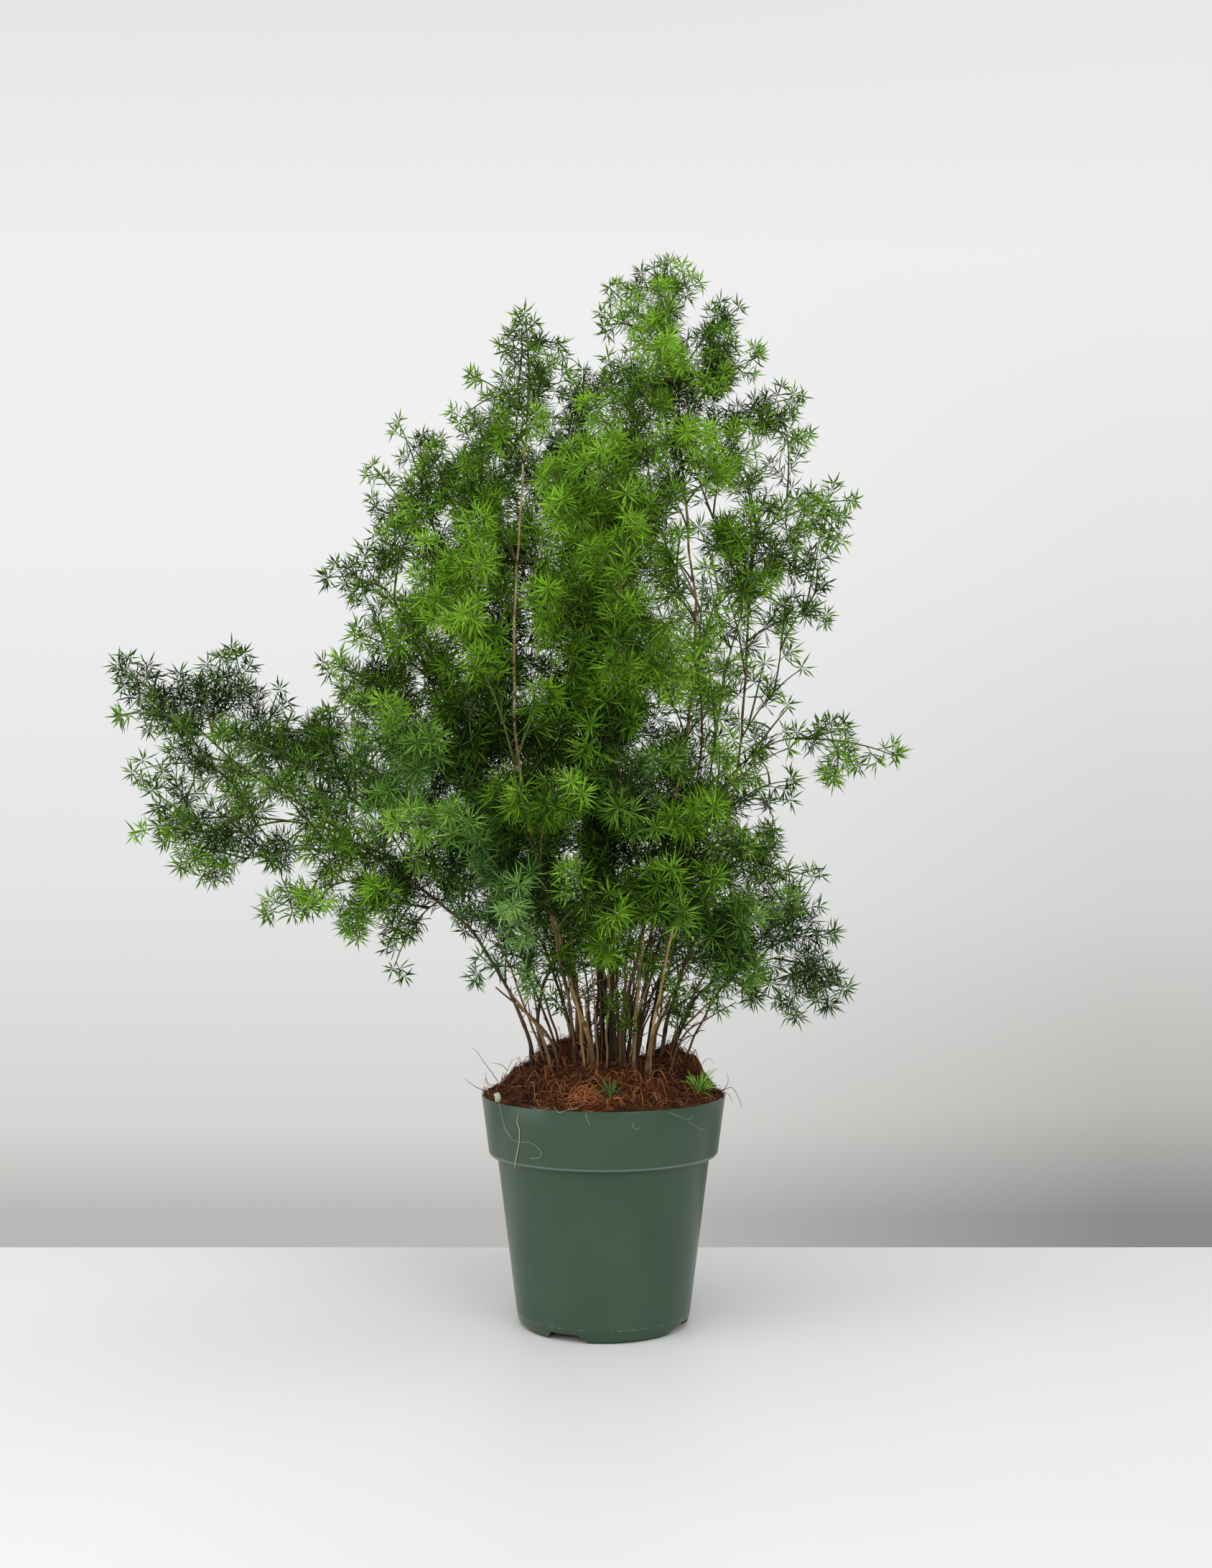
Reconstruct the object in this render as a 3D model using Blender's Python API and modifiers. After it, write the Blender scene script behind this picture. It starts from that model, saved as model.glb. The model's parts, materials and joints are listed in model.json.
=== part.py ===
"""Potted ming fern: a clump of thin woody stems with clouds of short green needles, growing from a
mound of coir in a tapered grower's pot.

Real size, in metres, +Z up. The origin is the middle of the pot's flat base, and -Y is the front.
Places along the stems are written in millimetres and turned to metres by MM.
"""

import math
import random

import bmesh
import bpy
import numpy as np
from mathutils import Matrix, Vector

MM = 0.001
UP = Vector((0, 0, 1))
FUSE_SOLVER = "MANIFOLD"
SWAYS = ((0, 0), (0.15, 0), (-0.15, 0), (0, 0.15), (0, -0.15), (0.3, 0.1), (-0.3, 0.1), (0.3, -0.15), (-0.3, -0.15))

# Pot: a six inch grower's pot with a deep collar and four drain notches in its foot.
POT_HEIGHT = 142 * MM
POT_RIM_RADIUS = 76.2 * MM
POT_COLLAR_RADIUS = 71.8 * MM  # at the collar's lower edge
POT_COLLAR_BASE = 104.5 * MM  # height where the collar steps out from the body
POT_BODY_RADIUS = 66.3 * MM  # right under the collar
POT_FOOT_RADIUS = 54.4 * MM  # where the body meets the rounded foot
POT_FLAT_RADIUS = 50.5 * MM  # the flat ring and floor that the pot stands on
POT_FOOT_HEIGHT = 8.4 * MM
POT_WALL = 1.5 * MM
POT_FLOOR = 1.8 * MM
TURN_STEPS = 30  # the pot and the soil share their facets, so their walls stay parallel
NOTCHES = 4
NOTCH_FIRST = math.radians(-116)  # the one that shows, left of the front
NOTCH_WIDTH_LOW = 27 * MM
NOTCH_WIDTH_TOP = 19 * MM
NOTCH_HEIGHT = 5.2 * MM
NOTCH_INNER_RADIUS = 38 * MM

# Soil: a mound of coir that fills the pot and heaps up round the stems.
GAP = 0.3 * MM  # between solids that touch
SOIL_EDGE_HEIGHT = 139.5 * MM
SOIL_DOME = 21 * MM  # rise from the edge to the middle
SOIL_RINGS = 5
SOIL_HEAPS = (  # middle x, y, rise and spread, in millimetres
    (-19, 20, 11, 15),
    (52, 14, 13, 15),
    (-46, 0, 6, 13),
    (14, -46, -3, 16),
    (-50, -38, 2, 12),
    (30, 44, 4, 18),
)

# Needles and twigs, as they are on the plant.
NEEDLE_LENGTH = 11.5 * MM
NEEDLE_RADIUS = 0.45 * MM
STEM_TIP_RADIUS = 1.7 * MM
MAIN_RADII = (1.0 * MM, 1.3 * MM, 0.5 * MM)  # at root, middle and tip of a branch
SIDE_RADII = (0.7 * MM, 1.15 * MM, 0.45 * MM)
TWIG_RADIUS = 0.5 * MM
TWIG_SPACING = 23 * MM
TWIG_LENGTH = 22 * MM
SPLAY = (math.radians(50), math.radians(72))  # between a twig or needle and what it grows from
BARE_SHARE = 0.25  # part of a branch, from its root, that has no twigs
BRANCH_PIECES = 2  # straight runs in each arched branch
SUNK = 0.5 * MM  # how deep roots go into what they grow from
CLEAR = 0.6 * MM  # air kept between the solids of different nodes

# Colours, as sRGB hex.
POT_GREEN = "#4B6152"
COIR_BROWN = "#4A2A1A"
BARK_BROWN = "#7A6148"
FERN_GREEN = "#3C7A2C"
YOUNG_GREEN = "#6FA53C"
ROOT_ORANGE = "#A9673F"
LABEL_PALE = "#C9CFBE"

# Each leafy stem: foot radius in mm, height in mm where its leafy part starts, its route from the
# soil up, then its branches. A branch has the height where it leaves the stem, then its tips. The
# x and z are those seen against the plane through the pot's middle, from VIEW_DISTANCE in front at
# VIEW_HEIGHT, and y is the depth that each place really has.
VIEW_DISTANCE = 990
VIEW_HEIGHT = 283
STEMS = {
    "left_leaner": (
        2.5, 252,
        [(-44, -5, 152), (-46, -5, 174), (-57, -4, 202), (-71, -2, 226), (-86, 0, 247),
         (-110, 2, 267), (-146, 0, 292), (-180, -5, 317), (-208, -9, 334), (-232, -11, 350)],
        [(350, [(-304, -6, 410), (-301, -40, 380), (-262, 26, 400)]),
         (324, [(-232, 44, 420), (-204, 34, 394), (-214, -22, 366)]),
         (340, [(-294, 30, 344), (-256, 48, 330)]),
         (306, [(-292, -48, 306), (-262, -66, 288), (-232, -54, 300)]),
         (292, [(-250, 34, 278), (-206, 46, 290)]),
         (276, [(-210, -44, 256), (-178, -62, 262), (-156, -40, 240)]),
         (262, [(-131, 22, 222), (-142, -58, 268)]),
         (314, [(-180, 58, 376), (-204, 70, 356)]),
         (270, [(-142, -76, 328), (-116, -88, 344)])],
    ),
    "left_low": (
        1.7, 212,
        [(-28, 2, 158), (-34, 0, 184), (-44, -3, 208), (-53, -6, 232), (-64, -12, 256), (-74, -22, 278)],
        [(278, [(-96, -62, 306), (-66, -76, 296), (-104, -30, 284)]),
         (218, [(-78, -26, 219), (-50, -34, 212)]),
         (244, [(-88, 20, 252), (-48, -52, 242)])],
    ),
    "left_back": (
        2.1, 270,
        [(-36, 8, 156), (-41, 7, 184), (-38, 9, 206), (-32, 13, 226), (-30, 22, 260), (-38, 38, 310),
         (-56, 54, 366), (-80, 64, 424), (-100, 66, 474), (-112, 60, 520)],
        [(520, [(-128, 52, 562), (-104, 40, 552)]),
         (474, [(-144, 34, 534), (-142, 56, 508)]),
         (440, [(-142, 84, 490), (-112, 104, 486)]),
         (424, [(-104, 112, 448), (-140, 96, 436)]),
         (400, [(-88, 14, 480), (-60, 24, 470)]),
         (366, [(-80, 104, 396), (-50, 116, 412)])],
    ),
    "left_middle": (
        1.9, 262,
        [(-17, 16, 162), (-22, 18, 202), (-30, 22, 228), (-50, 24, 274), (-78, 16, 332), (-103, 0, 388),
         (-122, -14, 434), (-136, -22, 458)],
        [(458, [(-172, -28, 466), (-150, -52, 476), (-132, 10, 482)]),
         (400, [(-154, -50, 430), (-128, -66, 424)]),
         (352, [(-174, 26, 412), (-158, 44, 392)]),
         (320, [(-148, -36, 364), (-126, -54, 352)]),
         (430, [(-90, -62, 462), (-104, -76, 442)])],
    ),
    "pale_tall": (
        2.7, 300,
        [(-6, -8, 156), (-10, -10, 178), (-19, -14, 205), (-28, -21, 240), (-40, -30, 282),
         (-49, -38, 324), (-55, -43, 370), (-56, -44, 412), (-55, -40, 460), (-51, -32, 520),
         (-48, -22, 566), (-47, -14, 600)],
        [(600, [(-49, -12, 630), (-64, -22, 612), (-28, 8, 612)]),
         (560, [(-82, -34, 592), (-90, -12, 564)]),
         (530, [(-62, -72, 552), (-84, -62, 538), (-42, -68, 566)]),
         (518, [(-22, -8, 528), (-24, 14, 508)]),
         (404, [(-78, -82, 428), (-94, -70, 408)]),
         (372, [(-98, -84, 384), (-82, -96, 360)]),
         (466, [(-30, -72, 474), (-12, -78, 460)]),
         (542, [(-76, 24, 562), (-58, 34, 578)])],
    ),
    "middle_back": (
        2.0, 300,
        [(0, 12, 162), (-1, 16, 200), (-4, 28, 270), (-8, 44, 350), (-12, 54, 430), (-14, 50, 500),
         (-14, 42, 552)],
        [(552, [(-12, 40, 594), (2, 52, 584)]),
         (512, [(-22, 8, 562), (-4, 0, 546)]),
         (470, [(4, 18, 506), (-22, 10, 502)]),
         (420, [(-36, 90, 462), (12, 96, 470)]),
         (360, [(-40, 84, 410), (20, 92, 400)]),
         (490, [(-40, 78, 520), (12, 82, 530)])],
    ),
    "middle_front": (
        1.9, 262,
        [(5, -9, 156), (5, -13, 200), (6, -24, 268), (8, -38, 346), (12, -47, 420), (16, -48, 480),
         (19, -44, 524)],
        [(524, [(20, -44, 562), (34, -58, 548), (8, -28, 548)]),
         (480, [(18, -82, 498), (-4, -76, 492), (32, -70, 508)]),
         (420, [(20, -92, 446), (0, -88, 442), (40, -84, 436)]),
         (346, [(18, -72, 384), (38, -66, 366)]),
         (300, [(-14, -62, 336), (-22, -50, 318)])],
    ),
    "right_tall": (
        2.5, 330,
        [(11, 3, 160), (15, 3, 200), (28, 3, 255), (43, 3, 315), (54, 5, 380), (58, 8, 438),
         (54, 10, 480), (50, 12, 530), (44, 12, 576), (40, 10, 622)],
        [(622, [(38, 6, 662), (54, -12, 652), (22, 24, 648)]),
         (600, [(5, -10, 646), (2, 22, 624)]),
         (588, [(84, -8, 634), (70, 24, 630)]),
         (562, [(97, -14, 604), (74, -34, 590)]),
         (540, [(123, 18, 579), (124, -8, 550), (94, 38, 572)]),
         (514, [(82, -28, 536), (66, -42, 546)]),
         (572, [(4, -24, 600), (14, -40, 584)]),
         (590, [(46, -34, 606), (28, -40, 622)]),
         (440, [(42, -30, 462), (84, 52, 432)]),
         (550, [(48, 54, 590), (20, 50, 572)])],
    ),
    "right_bend": (
        2.4, 300,
        [(35, 5, 154), (39, 5, 184), (47, 6, 212), (60, 10, 248), (76, 16, 304), (86, 24, 362),
         (90, 30, 420), (92, 28, 462), (98, 24, 498)],
        [(498, [(156, 8, 514), (148, -22, 490), (118, 26, 520)]),
         (470, [(92, -22, 506), (74, -34, 488)]),
         (430, [(139, 40, 442), (134, 62, 462), (112, 76, 448)]),
         (408, [(76, -30, 458), (104, -18, 472)]),
         (366, [(124, -8, 408), (100, 74, 412)]),
         (320, [(116, -14, 338), (98, -28, 352)]),
         (452, [(70, 76, 484), (92, 84, 500)])],
    ),
    "right_reach": (
        1.9, 262,
        [(20, 13, 160), (26, 17, 200), (41, 25, 256), (62, 36, 312), (84, 40, 346), (107, 30, 362),
         (130, 14, 366)],
        [(366, [(182, -4, 354), (150, 24, 370), (146, -34, 342)]),
         (352, [(116, -36, 384), (86, -30, 374)]),
         (318, [(116, 58, 326), (108, 78, 306)])],
    ),
    "front_right": (
        1.6, 262,
        [(14, -7, 158), (19, -10, 196), (27, -15, 232), (42, -24, 280), (58, -38, 336), (62, -52, 376),
         (60, -62, 398)],
        [(398, [(58, -92, 412), (38, -94, 400), (64, -78, 430)]),
         (336, [(34, -84, 350), (80, -74, 362)])],
    ),
    "tan_front": (
        2.6, 244,
        [(26, -15, 152), (31, -19, 184), (37, -26, 210), (42, -34, 240), (49, -49, 274), (55, -64, 306)],
        [(306, [(70, -108, 322), (46, -112, 312)]),
         (250, [(68, -88, 276), (52, -80, 256)]),
         (280, [(86, -66, 302), (96, -44, 286)])],
    ),
    "front_middle": (
        2.2, 238,
        [(19, -22, 150), (20, -25, 180), (22, -30, 214), (25, -40, 248), (18, -60, 306), (8, -76, 352)],
        [(352, [(2, -106, 386), (16, -104, 376), (-8, -110, 362)]),
         (244, [(30, -94, 260), (12, -92, 272)]),
         (306, [(10, -116, 320), (32, -110, 308)])],
    ),
    "front_left": (
        2.0, 236,
        [(-17, -14, 156), (-21, -26, 194), (-30, -48, 240), (-39, -76, 284), (-38, -94, 312)],
        [(312, [(-14, -128, 330), (-36, -134, 322), (-52, -118, 322)]),
         (256, [(-76, -96, 284), (-56, -106, 262)]),
         (244, [(-8, -90, 262), (-22, -102, 280)])],
    ),
    "right_low": (
        2.0, 208,
        [(42, 4, 152), (48, 4, 180), (60, 3, 204), (82, 0, 220), (108, -4, 227)],
        [(227, [(151, -24, 208), (140, 12, 198), (118, -30, 194)]),
         (224, [(134, 26, 278), (142, -18, 244), (114, 40, 262)]),
         (214, [(94, 30, 200), (70, -32, 204)])],
    ),
    "back_middle": (
        2.0, 250,
        [(4, 25, 160), (1, 38, 210), (-7, 66, 290), (-15, 90, 368), (-19, 102, 436)],
        [(436, [(-20, 118, 490), (-52, 130, 456), (16, 130, 466)]),
         (368, [(-44, 146, 398), (4, 152, 390)]),
         (290, [(-34, 124, 310), (20, 126, 318)])],
    ),
    "back_right": (
        2.0, 246,
        [(26, 24, 158), (34, 36, 206), (49, 64, 270), (66, 90, 338), (76, 102, 408)],
        [(408, [(90, 120, 452), (52, 130, 440)]),
         (338, [(112, 122, 368), (80, 146, 350)]),
         (270, [(74, 118, 276), (102, 88, 258)])],
    ),
    "back_left": (
        1.9, 246,
        [(-17, 30, 160), (-27, 42, 206), (-52, 68, 268), (-82, 90, 336), (-98, 98, 398)],
        [(398, [(-122, 108, 434), (-88, 134, 440)]),
         (336, [(-134, 108, 358), (-100, 138, 346)]),
         (268, [(-96, 110, 276), (-60, 122, 290)])],
    ),
}

# Seedlings of another plant: foot x and y, height to the lowest needles, needles and needle length.
SEEDLINGS = {
    "seedling_bright": (58, -27, 7, 9, 13),
    "seedling_dark": (4, -55, 6, 8, 9),
}
SEEDLING_BASE = SOIL_EDGE_HEIGHT - 0.5 * MM
SEEDLING_RADIUS = 1.1 * MM
SEEDLING_HOLE = 5 * MM  # how deep a seedling stands in the coir
# Roots that lie on the coir in front: their x and y, in millimetres.
SURFACE_ROOTS = (
    ((-4, -22), (-5, -34), (-8, -46), (-15, -57), (-18, -66)),
    ((-5, -34), (2, -43), (9, -54), (11, -64)),
    ((-8, -46), (-20, -50), (-33, -48), (-44, -52)),
)
SURFACE_ROOT_RADIUS = 1.1 * MM


def linear(hex_colour):
    """An sRGB hex colour as the linear RGBA that a shader takes."""
    channels = [int(hex_colour[k:k + 2], 16) / 255 for k in (1, 3, 5)]
    return [c / 12.92 if c <= 0.04045 else ((c + 0.055) / 1.055) ** 2.4 for c in channels] + [1.0]


def principled(name, hex_colour, roughness):
    material = bpy.data.materials.new(name)
    material.use_nodes = True
    shader = material.node_tree.nodes["Principled BSDF"]
    shader.inputs["Base Color"].default_value = linear(hex_colour)
    shader.inputs["Roughness"].default_value = roughness
    material.diffuse_color = linear(hex_colour)
    return material


def clear_scene():
    for obj in list(bpy.data.objects):
        bpy.data.objects.remove(obj)


def new_collection(name):
    collection = bpy.data.collections.new(name)
    bpy.context.scene.collection.children.link(collection)
    return collection


def object_of(name, data, collection):
    obj = bpy.data.objects.new(name, data)
    collection.objects.link(obj)
    return obj


def baked(obj, name, collection, weld=0.002 * MM):
    """A mesh object of what obj looks like with its modifiers, its open seams welded. obj goes."""
    graph = bpy.context.evaluated_depsgraph_get()
    graph.update()
    mesh = bpy.data.meshes.new_from_object(obj.evaluated_get(graph))
    work = bmesh.new()
    work.from_mesh(mesh)
    bmesh.ops.remove_doubles(work, verts=work.verts, dist=weld)
    bmesh.ops.recalc_face_normals(work, faces=work.faces)
    work.to_mesh(mesh)
    work.free()
    place = obj.matrix_world.copy()
    bpy.data.objects.remove(obj)
    made = object_of(name, mesh, collection)
    made.matrix_world = place
    return made


def turned(name, profile, collection):
    """Profile (radius, height) points turned round Z. They run down the outer side."""
    work = bmesh.new()
    verts = [work.verts.new((radius, 0, height)) for radius, height in profile]
    for a, b in zip(verts, verts[1:]):
        work.edges.new((a, b))
    mesh = bpy.data.meshes.new(name)
    work.to_mesh(mesh)
    work.free()
    obj = object_of(name, mesh, collection)
    screw = obj.modifiers.new("turn", "SCREW")
    screw.steps = screw.render_steps = TURN_STEPS
    screw.use_merge_vertices = True
    screw.merge_threshold = 0.05 * MM
    return obj


def cut(obj, cutters, name):
    boolean = obj.modifiers.new(name, "BOOLEAN")
    boolean.operation = "DIFFERENCE"
    boolean.operand_type = "COLLECTION"
    boolean.collection = cutters
    boolean.solver = "EXACT"


def as_cutter(obj):
    obj.hide_render = True
    obj.display_type = "WIRE"
    return obj


def make_pot(collection, material):
    """The shell: floor, tapered body, step and flared collar, with drain notches in the foot."""
    inner_step = POT_COLLAR_BASE + POT_WALL
    profile = [
        (0, POT_FLOOR),
        (POT_FLAT_RADIUS, POT_FLOOR),
        (POT_FOOT_RADIUS - POT_WALL, POT_FOOT_HEIGHT),
        (POT_BODY_RADIUS - POT_WALL, inner_step),
        (POT_COLLAR_RADIUS - POT_WALL, inner_step + 1.5 * MM),
        (POT_RIM_RADIUS - POT_WALL, POT_HEIGHT),
        (POT_RIM_RADIUS, POT_HEIGHT),
        (POT_COLLAR_RADIUS, POT_COLLAR_BASE + 3.0 * MM),
        (POT_COLLAR_RADIUS - 1.4 * MM, POT_COLLAR_BASE + 0.7 * MM),
        (POT_BODY_RADIUS, POT_COLLAR_BASE),
        (POT_FOOT_RADIUS, POT_FOOT_HEIGHT),
        (POT_FLAT_RADIUS + 2.4 * MM, 1.7 * MM),
        (POT_FLAT_RADIUS, 0),
        (0, 0),
    ]
    pot = turned("pot", profile, collection)
    cutters = new_collection("pot_cutters")
    for k in range(NOTCHES):
        cutters.objects.link(notch_cutter(k))
    cut(pot, cutters, "drain_notches")
    pot.data.materials.append(material)
    return pot


def notch_cutter(k):
    """A wedge that is wider at the floor, laid across the foot of the pot."""
    depth = POT_FOOT_RADIUS + 6 * MM - NOTCH_INNER_RADIUS
    low, high = -2 * MM, NOTCH_HEIGHT
    work = bmesh.new()
    bmesh.ops.create_cube(work, size=1)
    for vert in work.verts:
        top = vert.co.z > 0
        vert.co.x = NOTCH_INNER_RADIUS + (vert.co.x + 0.5) * depth
        vert.co.y *= NOTCH_WIDTH_TOP if top else NOTCH_WIDTH_LOW + (NOTCH_WIDTH_LOW - NOTCH_WIDTH_TOP) * 0.4
        vert.co.z = high if top else low
    mesh = bpy.data.meshes.new(f"notch_{k}")
    work.to_mesh(mesh)
    work.free()
    obj = as_cutter(bpy.data.objects.new(f"notch_{k}", mesh))
    obj.rotation_euler.z = NOTCH_FIRST + k * math.tau / NOTCHES
    return obj


def soil_rise(x, y):
    """Height of the coir above its edge, at x, y in metres."""
    radius = math.hypot(x, y) / (POT_RIM_RADIUS - POT_WALL - GAP)
    dome = SOIL_DOME * max(0.0, 1 - radius ** 2.2)
    edge = max(0.0, min(1.0, (1 - radius) * 5))
    heaps = sum(
        rise * MM * math.exp(-((x / MM - cx) ** 2 + (y / MM - cy) ** 2) / (2 * spread ** 2))
        for cx, cy, rise, spread in SOIL_HEAPS
    )
    ripple = 1.1 * MM * math.sin(x / MM * 0.31) * math.cos(y / MM * 0.27)
    return dome + edge * (heaps + ripple)


def make_soil(collection, material, holes):
    """The coir, a gap inside the pot, heaped on top and with a plain hole for each stem."""
    edge = POT_RIM_RADIUS - POT_WALL - GAP - 0.4 * MM
    inner_step = POT_COLLAR_BASE + POT_WALL
    rings = [edge * (1 - (k / SOIL_RINGS)) for k in range(SOIL_RINGS + 1)]
    profile = [(radius, SOIL_EDGE_HEIGHT) for radius in reversed(rings)]
    profile += [
        (POT_COLLAR_RADIUS - POT_WALL - GAP, inner_step + 1.5 * MM + GAP),
        (POT_BODY_RADIUS - POT_WALL - GAP, inner_step + GAP),
        (POT_FOOT_RADIUS - POT_WALL - GAP, POT_FOOT_HEIGHT),
        (POT_FLAT_RADIUS - 0.6 * MM, POT_FLOOR + GAP),
        (0, POT_FLOOR + GAP),
    ]
    soil = baked(turned("soil_turned", profile, collection), "soil", collection)
    for vert in soil.data.vertices:
        if vert.co.z > SOIL_EDGE_HEIGHT - 0.01 * MM:
            vert.co.z += soil_rise(vert.co.x, vert.co.y)
    cutters = new_collection("soil_cutters")
    for hole in holes:
        cutters.objects.link(hole)
        hole.users_collection[0].objects.unlink(hole) if len(hole.users_collection) > 1 else None
    cut(soil, cutters, "holes")
    soil.data.materials.append(material)
    return soil


def section(sides):
    """The outline of tubes with few sides, of 1 mm radius, which each point's radius scales."""
    curve = bpy.data.curves.new(f"section_{sides}", "CURVE")
    curve.dimensions = "2D"
    spline = curve.splines.new("POLY")
    spline.points.add(sides - 1)
    for k, point in enumerate(spline.points):
        angle = -k * math.tau / sides
        point.co = (MM * math.cos(angle), MM * math.sin(angle), 0, 1)
    spline.use_cyclic_u = True
    return curve


def tube(name, points, radii, collection, outline):
    """A tapered tube on a POLY spline, with the sides of its outline."""
    curve = bpy.data.curves.new(name, "CURVE")
    curve.dimensions = "3D"
    curve.use_fill_caps = True
    curve.bevel_mode = "OBJECT"
    curve.bevel_object = outline
    spline = curve.splines.new("POLY")
    spline.points.add(len(points) - 1)
    for point, place, radius in zip(spline.points, points, radii):
        point.co = (*place, 1)
        point.radius = radius / MM
    return baked(object_of(name, curve, collection), name, collection)


def spike(name, root, tip, radius, collection):
    """A straight three-sided twig or needle, from its thick root to its sharp tip."""
    along = tip - root
    turn = along.to_track_quat("Z", "X").to_matrix().to_4x4()
    work = bmesh.new()
    bmesh.ops.create_cone(
        work, cap_ends=True, segments=3, radius1=radius, radius2=0, depth=along.length,
        matrix=Matrix.Translation((root + tip) / 2) @ turn,
    )
    bmesh.ops.remove_doubles(work, verts=work.verts, dist=0.001 * MM)
    mesh = bpy.data.meshes.new(name)
    work.to_mesh(mesh)
    work.free()
    return object_of(name, mesh, collection)


def fuse(name, pieces, collection, material):
    """One closed body of all the pieces, the first of which carries the rest."""
    carrier, repeats = pieces[0], bpy.data.collections.new(f"{name}_repeats")
    for piece in pieces[1:]:
        repeats.objects.link(piece)
    join = carrier.modifiers.new("join", "BOOLEAN")
    join.operation = "UNION"
    join.operand_type = "COLLECTION"
    join.collection = repeats
    join.solver = FUSE_SOLVER
    body = baked(carrier, name, collection, 0.00001 * MM)
    for piece in pieces[1:]:
        bpy.data.objects.remove(piece)
    bpy.data.collections.remove(repeats)
    body.data.materials.clear()
    body.data.materials.append(material)
    return body


def in_metres(places):
    """Seen places moved along the line of sight to their real depth, in metres."""
    found = []
    for x, y, z in places:
        scale = (VIEW_DISTANCE + y) / VIEW_DISTANCE
        found.append(Vector((x * scale, y, VIEW_HEIGHT + (z - VIEW_HEIGHT) * scale)) * MM)
    return found


def at_share(path, share):
    """The point and direction at a share of a path's length."""
    spans = [(b - a).length for a, b in zip(path, path[1:])]
    left = share * sum(spans)
    for k, span in enumerate(spans):
        if left <= span or k == len(spans) - 1:
            along = (path[k + 1] - path[k]).normalized()
            return path[k] + along * min(left, span), along
        left -= span


def at_height(path, height):
    """The point and direction where a rising path passes a height."""
    for a, b in zip(path, path[1:]):
        if b.z >= height:
            share = max(0.0, (height - a.z) / (b.z - a.z))
            return a.lerp(b, share), (b - a).normalized()
    return path[-1].copy(), (path[-1] - path[-2]).normalized()


def arched(start, tip, along, sway):
    """A branch that starts a little along its parent and arches over to its tip."""
    span = (tip - start).length
    aside = (tip - start).cross(UP).normalized()
    middle = start.lerp(tip, 0.45) + along * span * 0.12 + UP * span * 0.08
    middle += aside * span * sway[0] + UP * span * sway[1]
    return [
        start * (1 - t) ** 2 + middle * 2 * t * (1 - t) + tip * t * t
        for t in (k / BRANCH_PIECES for k in range(BRANCH_PIECES + 1))
    ]


def fork_share(start, main_tip, tip):
    """How far along its main branch a side branch leaves, so that it points forward."""
    main = main_tip - start
    nearest = (tip - start).dot(main) / main.length_squared
    return max(0.15, min(0.72, nearest - 0.3))


class Room:
    """Keeps the solids of different nodes apart: the centre lines placed so far, each with a radius."""

    def __init__(self):
        self.starts, self.ends, self.radii, self.nodes = [], [], [], []

    def add(self, node, path, radius):
        for a, b in zip(path, path[1:]):
            self.starts.append(a[:])
            self.ends.append(b[:])
            self.radii.append(radius)
            self.nodes.append(node)

    def air(self, node, path, radius):
        """Least air between this path and the lines of other nodes, by points along it."""
        others = np.array([n != node for n in self.nodes])
        if not others.any():
            return 1.0
        a = np.array(self.starts)[others]
        r = np.array(self.radii)[others]
        span = np.array(self.ends)[others] - a
        least = 1.0
        for start, end in zip(path, path[1:]):
            steps = max(3, math.ceil((end - start).length / (2 * MM)))
            for t in np.linspace(0, 1, steps):
                point = np.array(start.lerp(end, t))
                share = np.clip(((point - a) * span).sum(1) / (span ** 2).sum(1), 0, 1)
                air = np.linalg.norm(a + share[:, None] * span - point, axis=1) - r - radius
                least = min(least, air.min())
        return least


def clear_branch(room, name, start, tip, along):
    """An arch from start to tip, bent aside where it would cross another stem's branches."""
    best, best_air = None, -1.0
    for sway in SWAYS:
        path = arched(start, tip, along, sway)
        air = room.air(name, path, MAIN_RADII[1])
        if air > CLEAR:
            return path
        if air > best_air:
            best, best_air = path, air
    print("close", name, [round(v / MM) for v in tip], round(best_air / MM, 2))
    return best


def lay_out(name, plan, room):
    """Every branch of a stem as its label, its path and its bearer's direction where it leaves.

    The first tip of each branch is its main one, and the others fork from it.
    """
    foot, bare, places, branches = plan
    route = in_metres(places)
    found = []
    for number, (height, tips) in enumerate(branches):
        start, along = at_height(route, max(height, bare + 4) * MM)
        tips = in_metres(tips)
        main = clear_branch(room, name, start, tips[0], along)
        room.add(name, main, MAIN_RADII[1])
        found.append((f"{number}_0", main, along))
        for k, tip in enumerate(tips[1:], 1):
            root, along = at_share(main, fork_share(start, tips[0], tip))
            path = clear_branch(room, name, root, tip, along)
            room.add(name, path, SIDE_RADII[1])
            found.append((f"{number}_{k}", path, along))
    return found


def faces_round(obj, point, along, count):
    """The long faces of a tube that lie round a point inside it."""

    def beside(face):
        reach = [(obj.data.vertices[v].co - point).dot(along) for v in face.vertices]
        return max(0.0, min(reach), -max(reach))

    sides = [face for face in obj.data.polygons if abs(face.normal.dot(along)) < 0.6]
    sides.sort(key=lambda face: (round(beside(face) / MM, 1), (face.center - point).length))
    return sorted(sides[:count], key=lambda face: face.index)


def on_face(face, point):
    return point - face.normal * (point - face.center).dot(face.normal)


def sprout(draw, obj, point, along, side, length, splay):
    """Root and tip of a needle or twig that leaves obj's face, leaning forward."""
    face = faces_round(obj, point, along, 3)[side % 3]
    across = along.cross(face.normal)
    out = (face.normal + across * draw.uniform(-0.3, 0.3)).normalized()
    way = (along * math.cos(splay) + out * math.sin(splay)).normalized()
    place = on_face(face, point)
    return place - way * SUNK, place + way * length


def split_route(route, height):
    """The woody part below a height and the leafy part above it, a gap apart."""
    cut_at, along = at_height(route, height)
    low = [p for p in route if p.z < height - 2 * MM] + [cut_at - along * GAP / 2]
    high = [cut_at + along * GAP / 2] + [p for p in route if p.z > height + 2 * MM]
    return low, high


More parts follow.
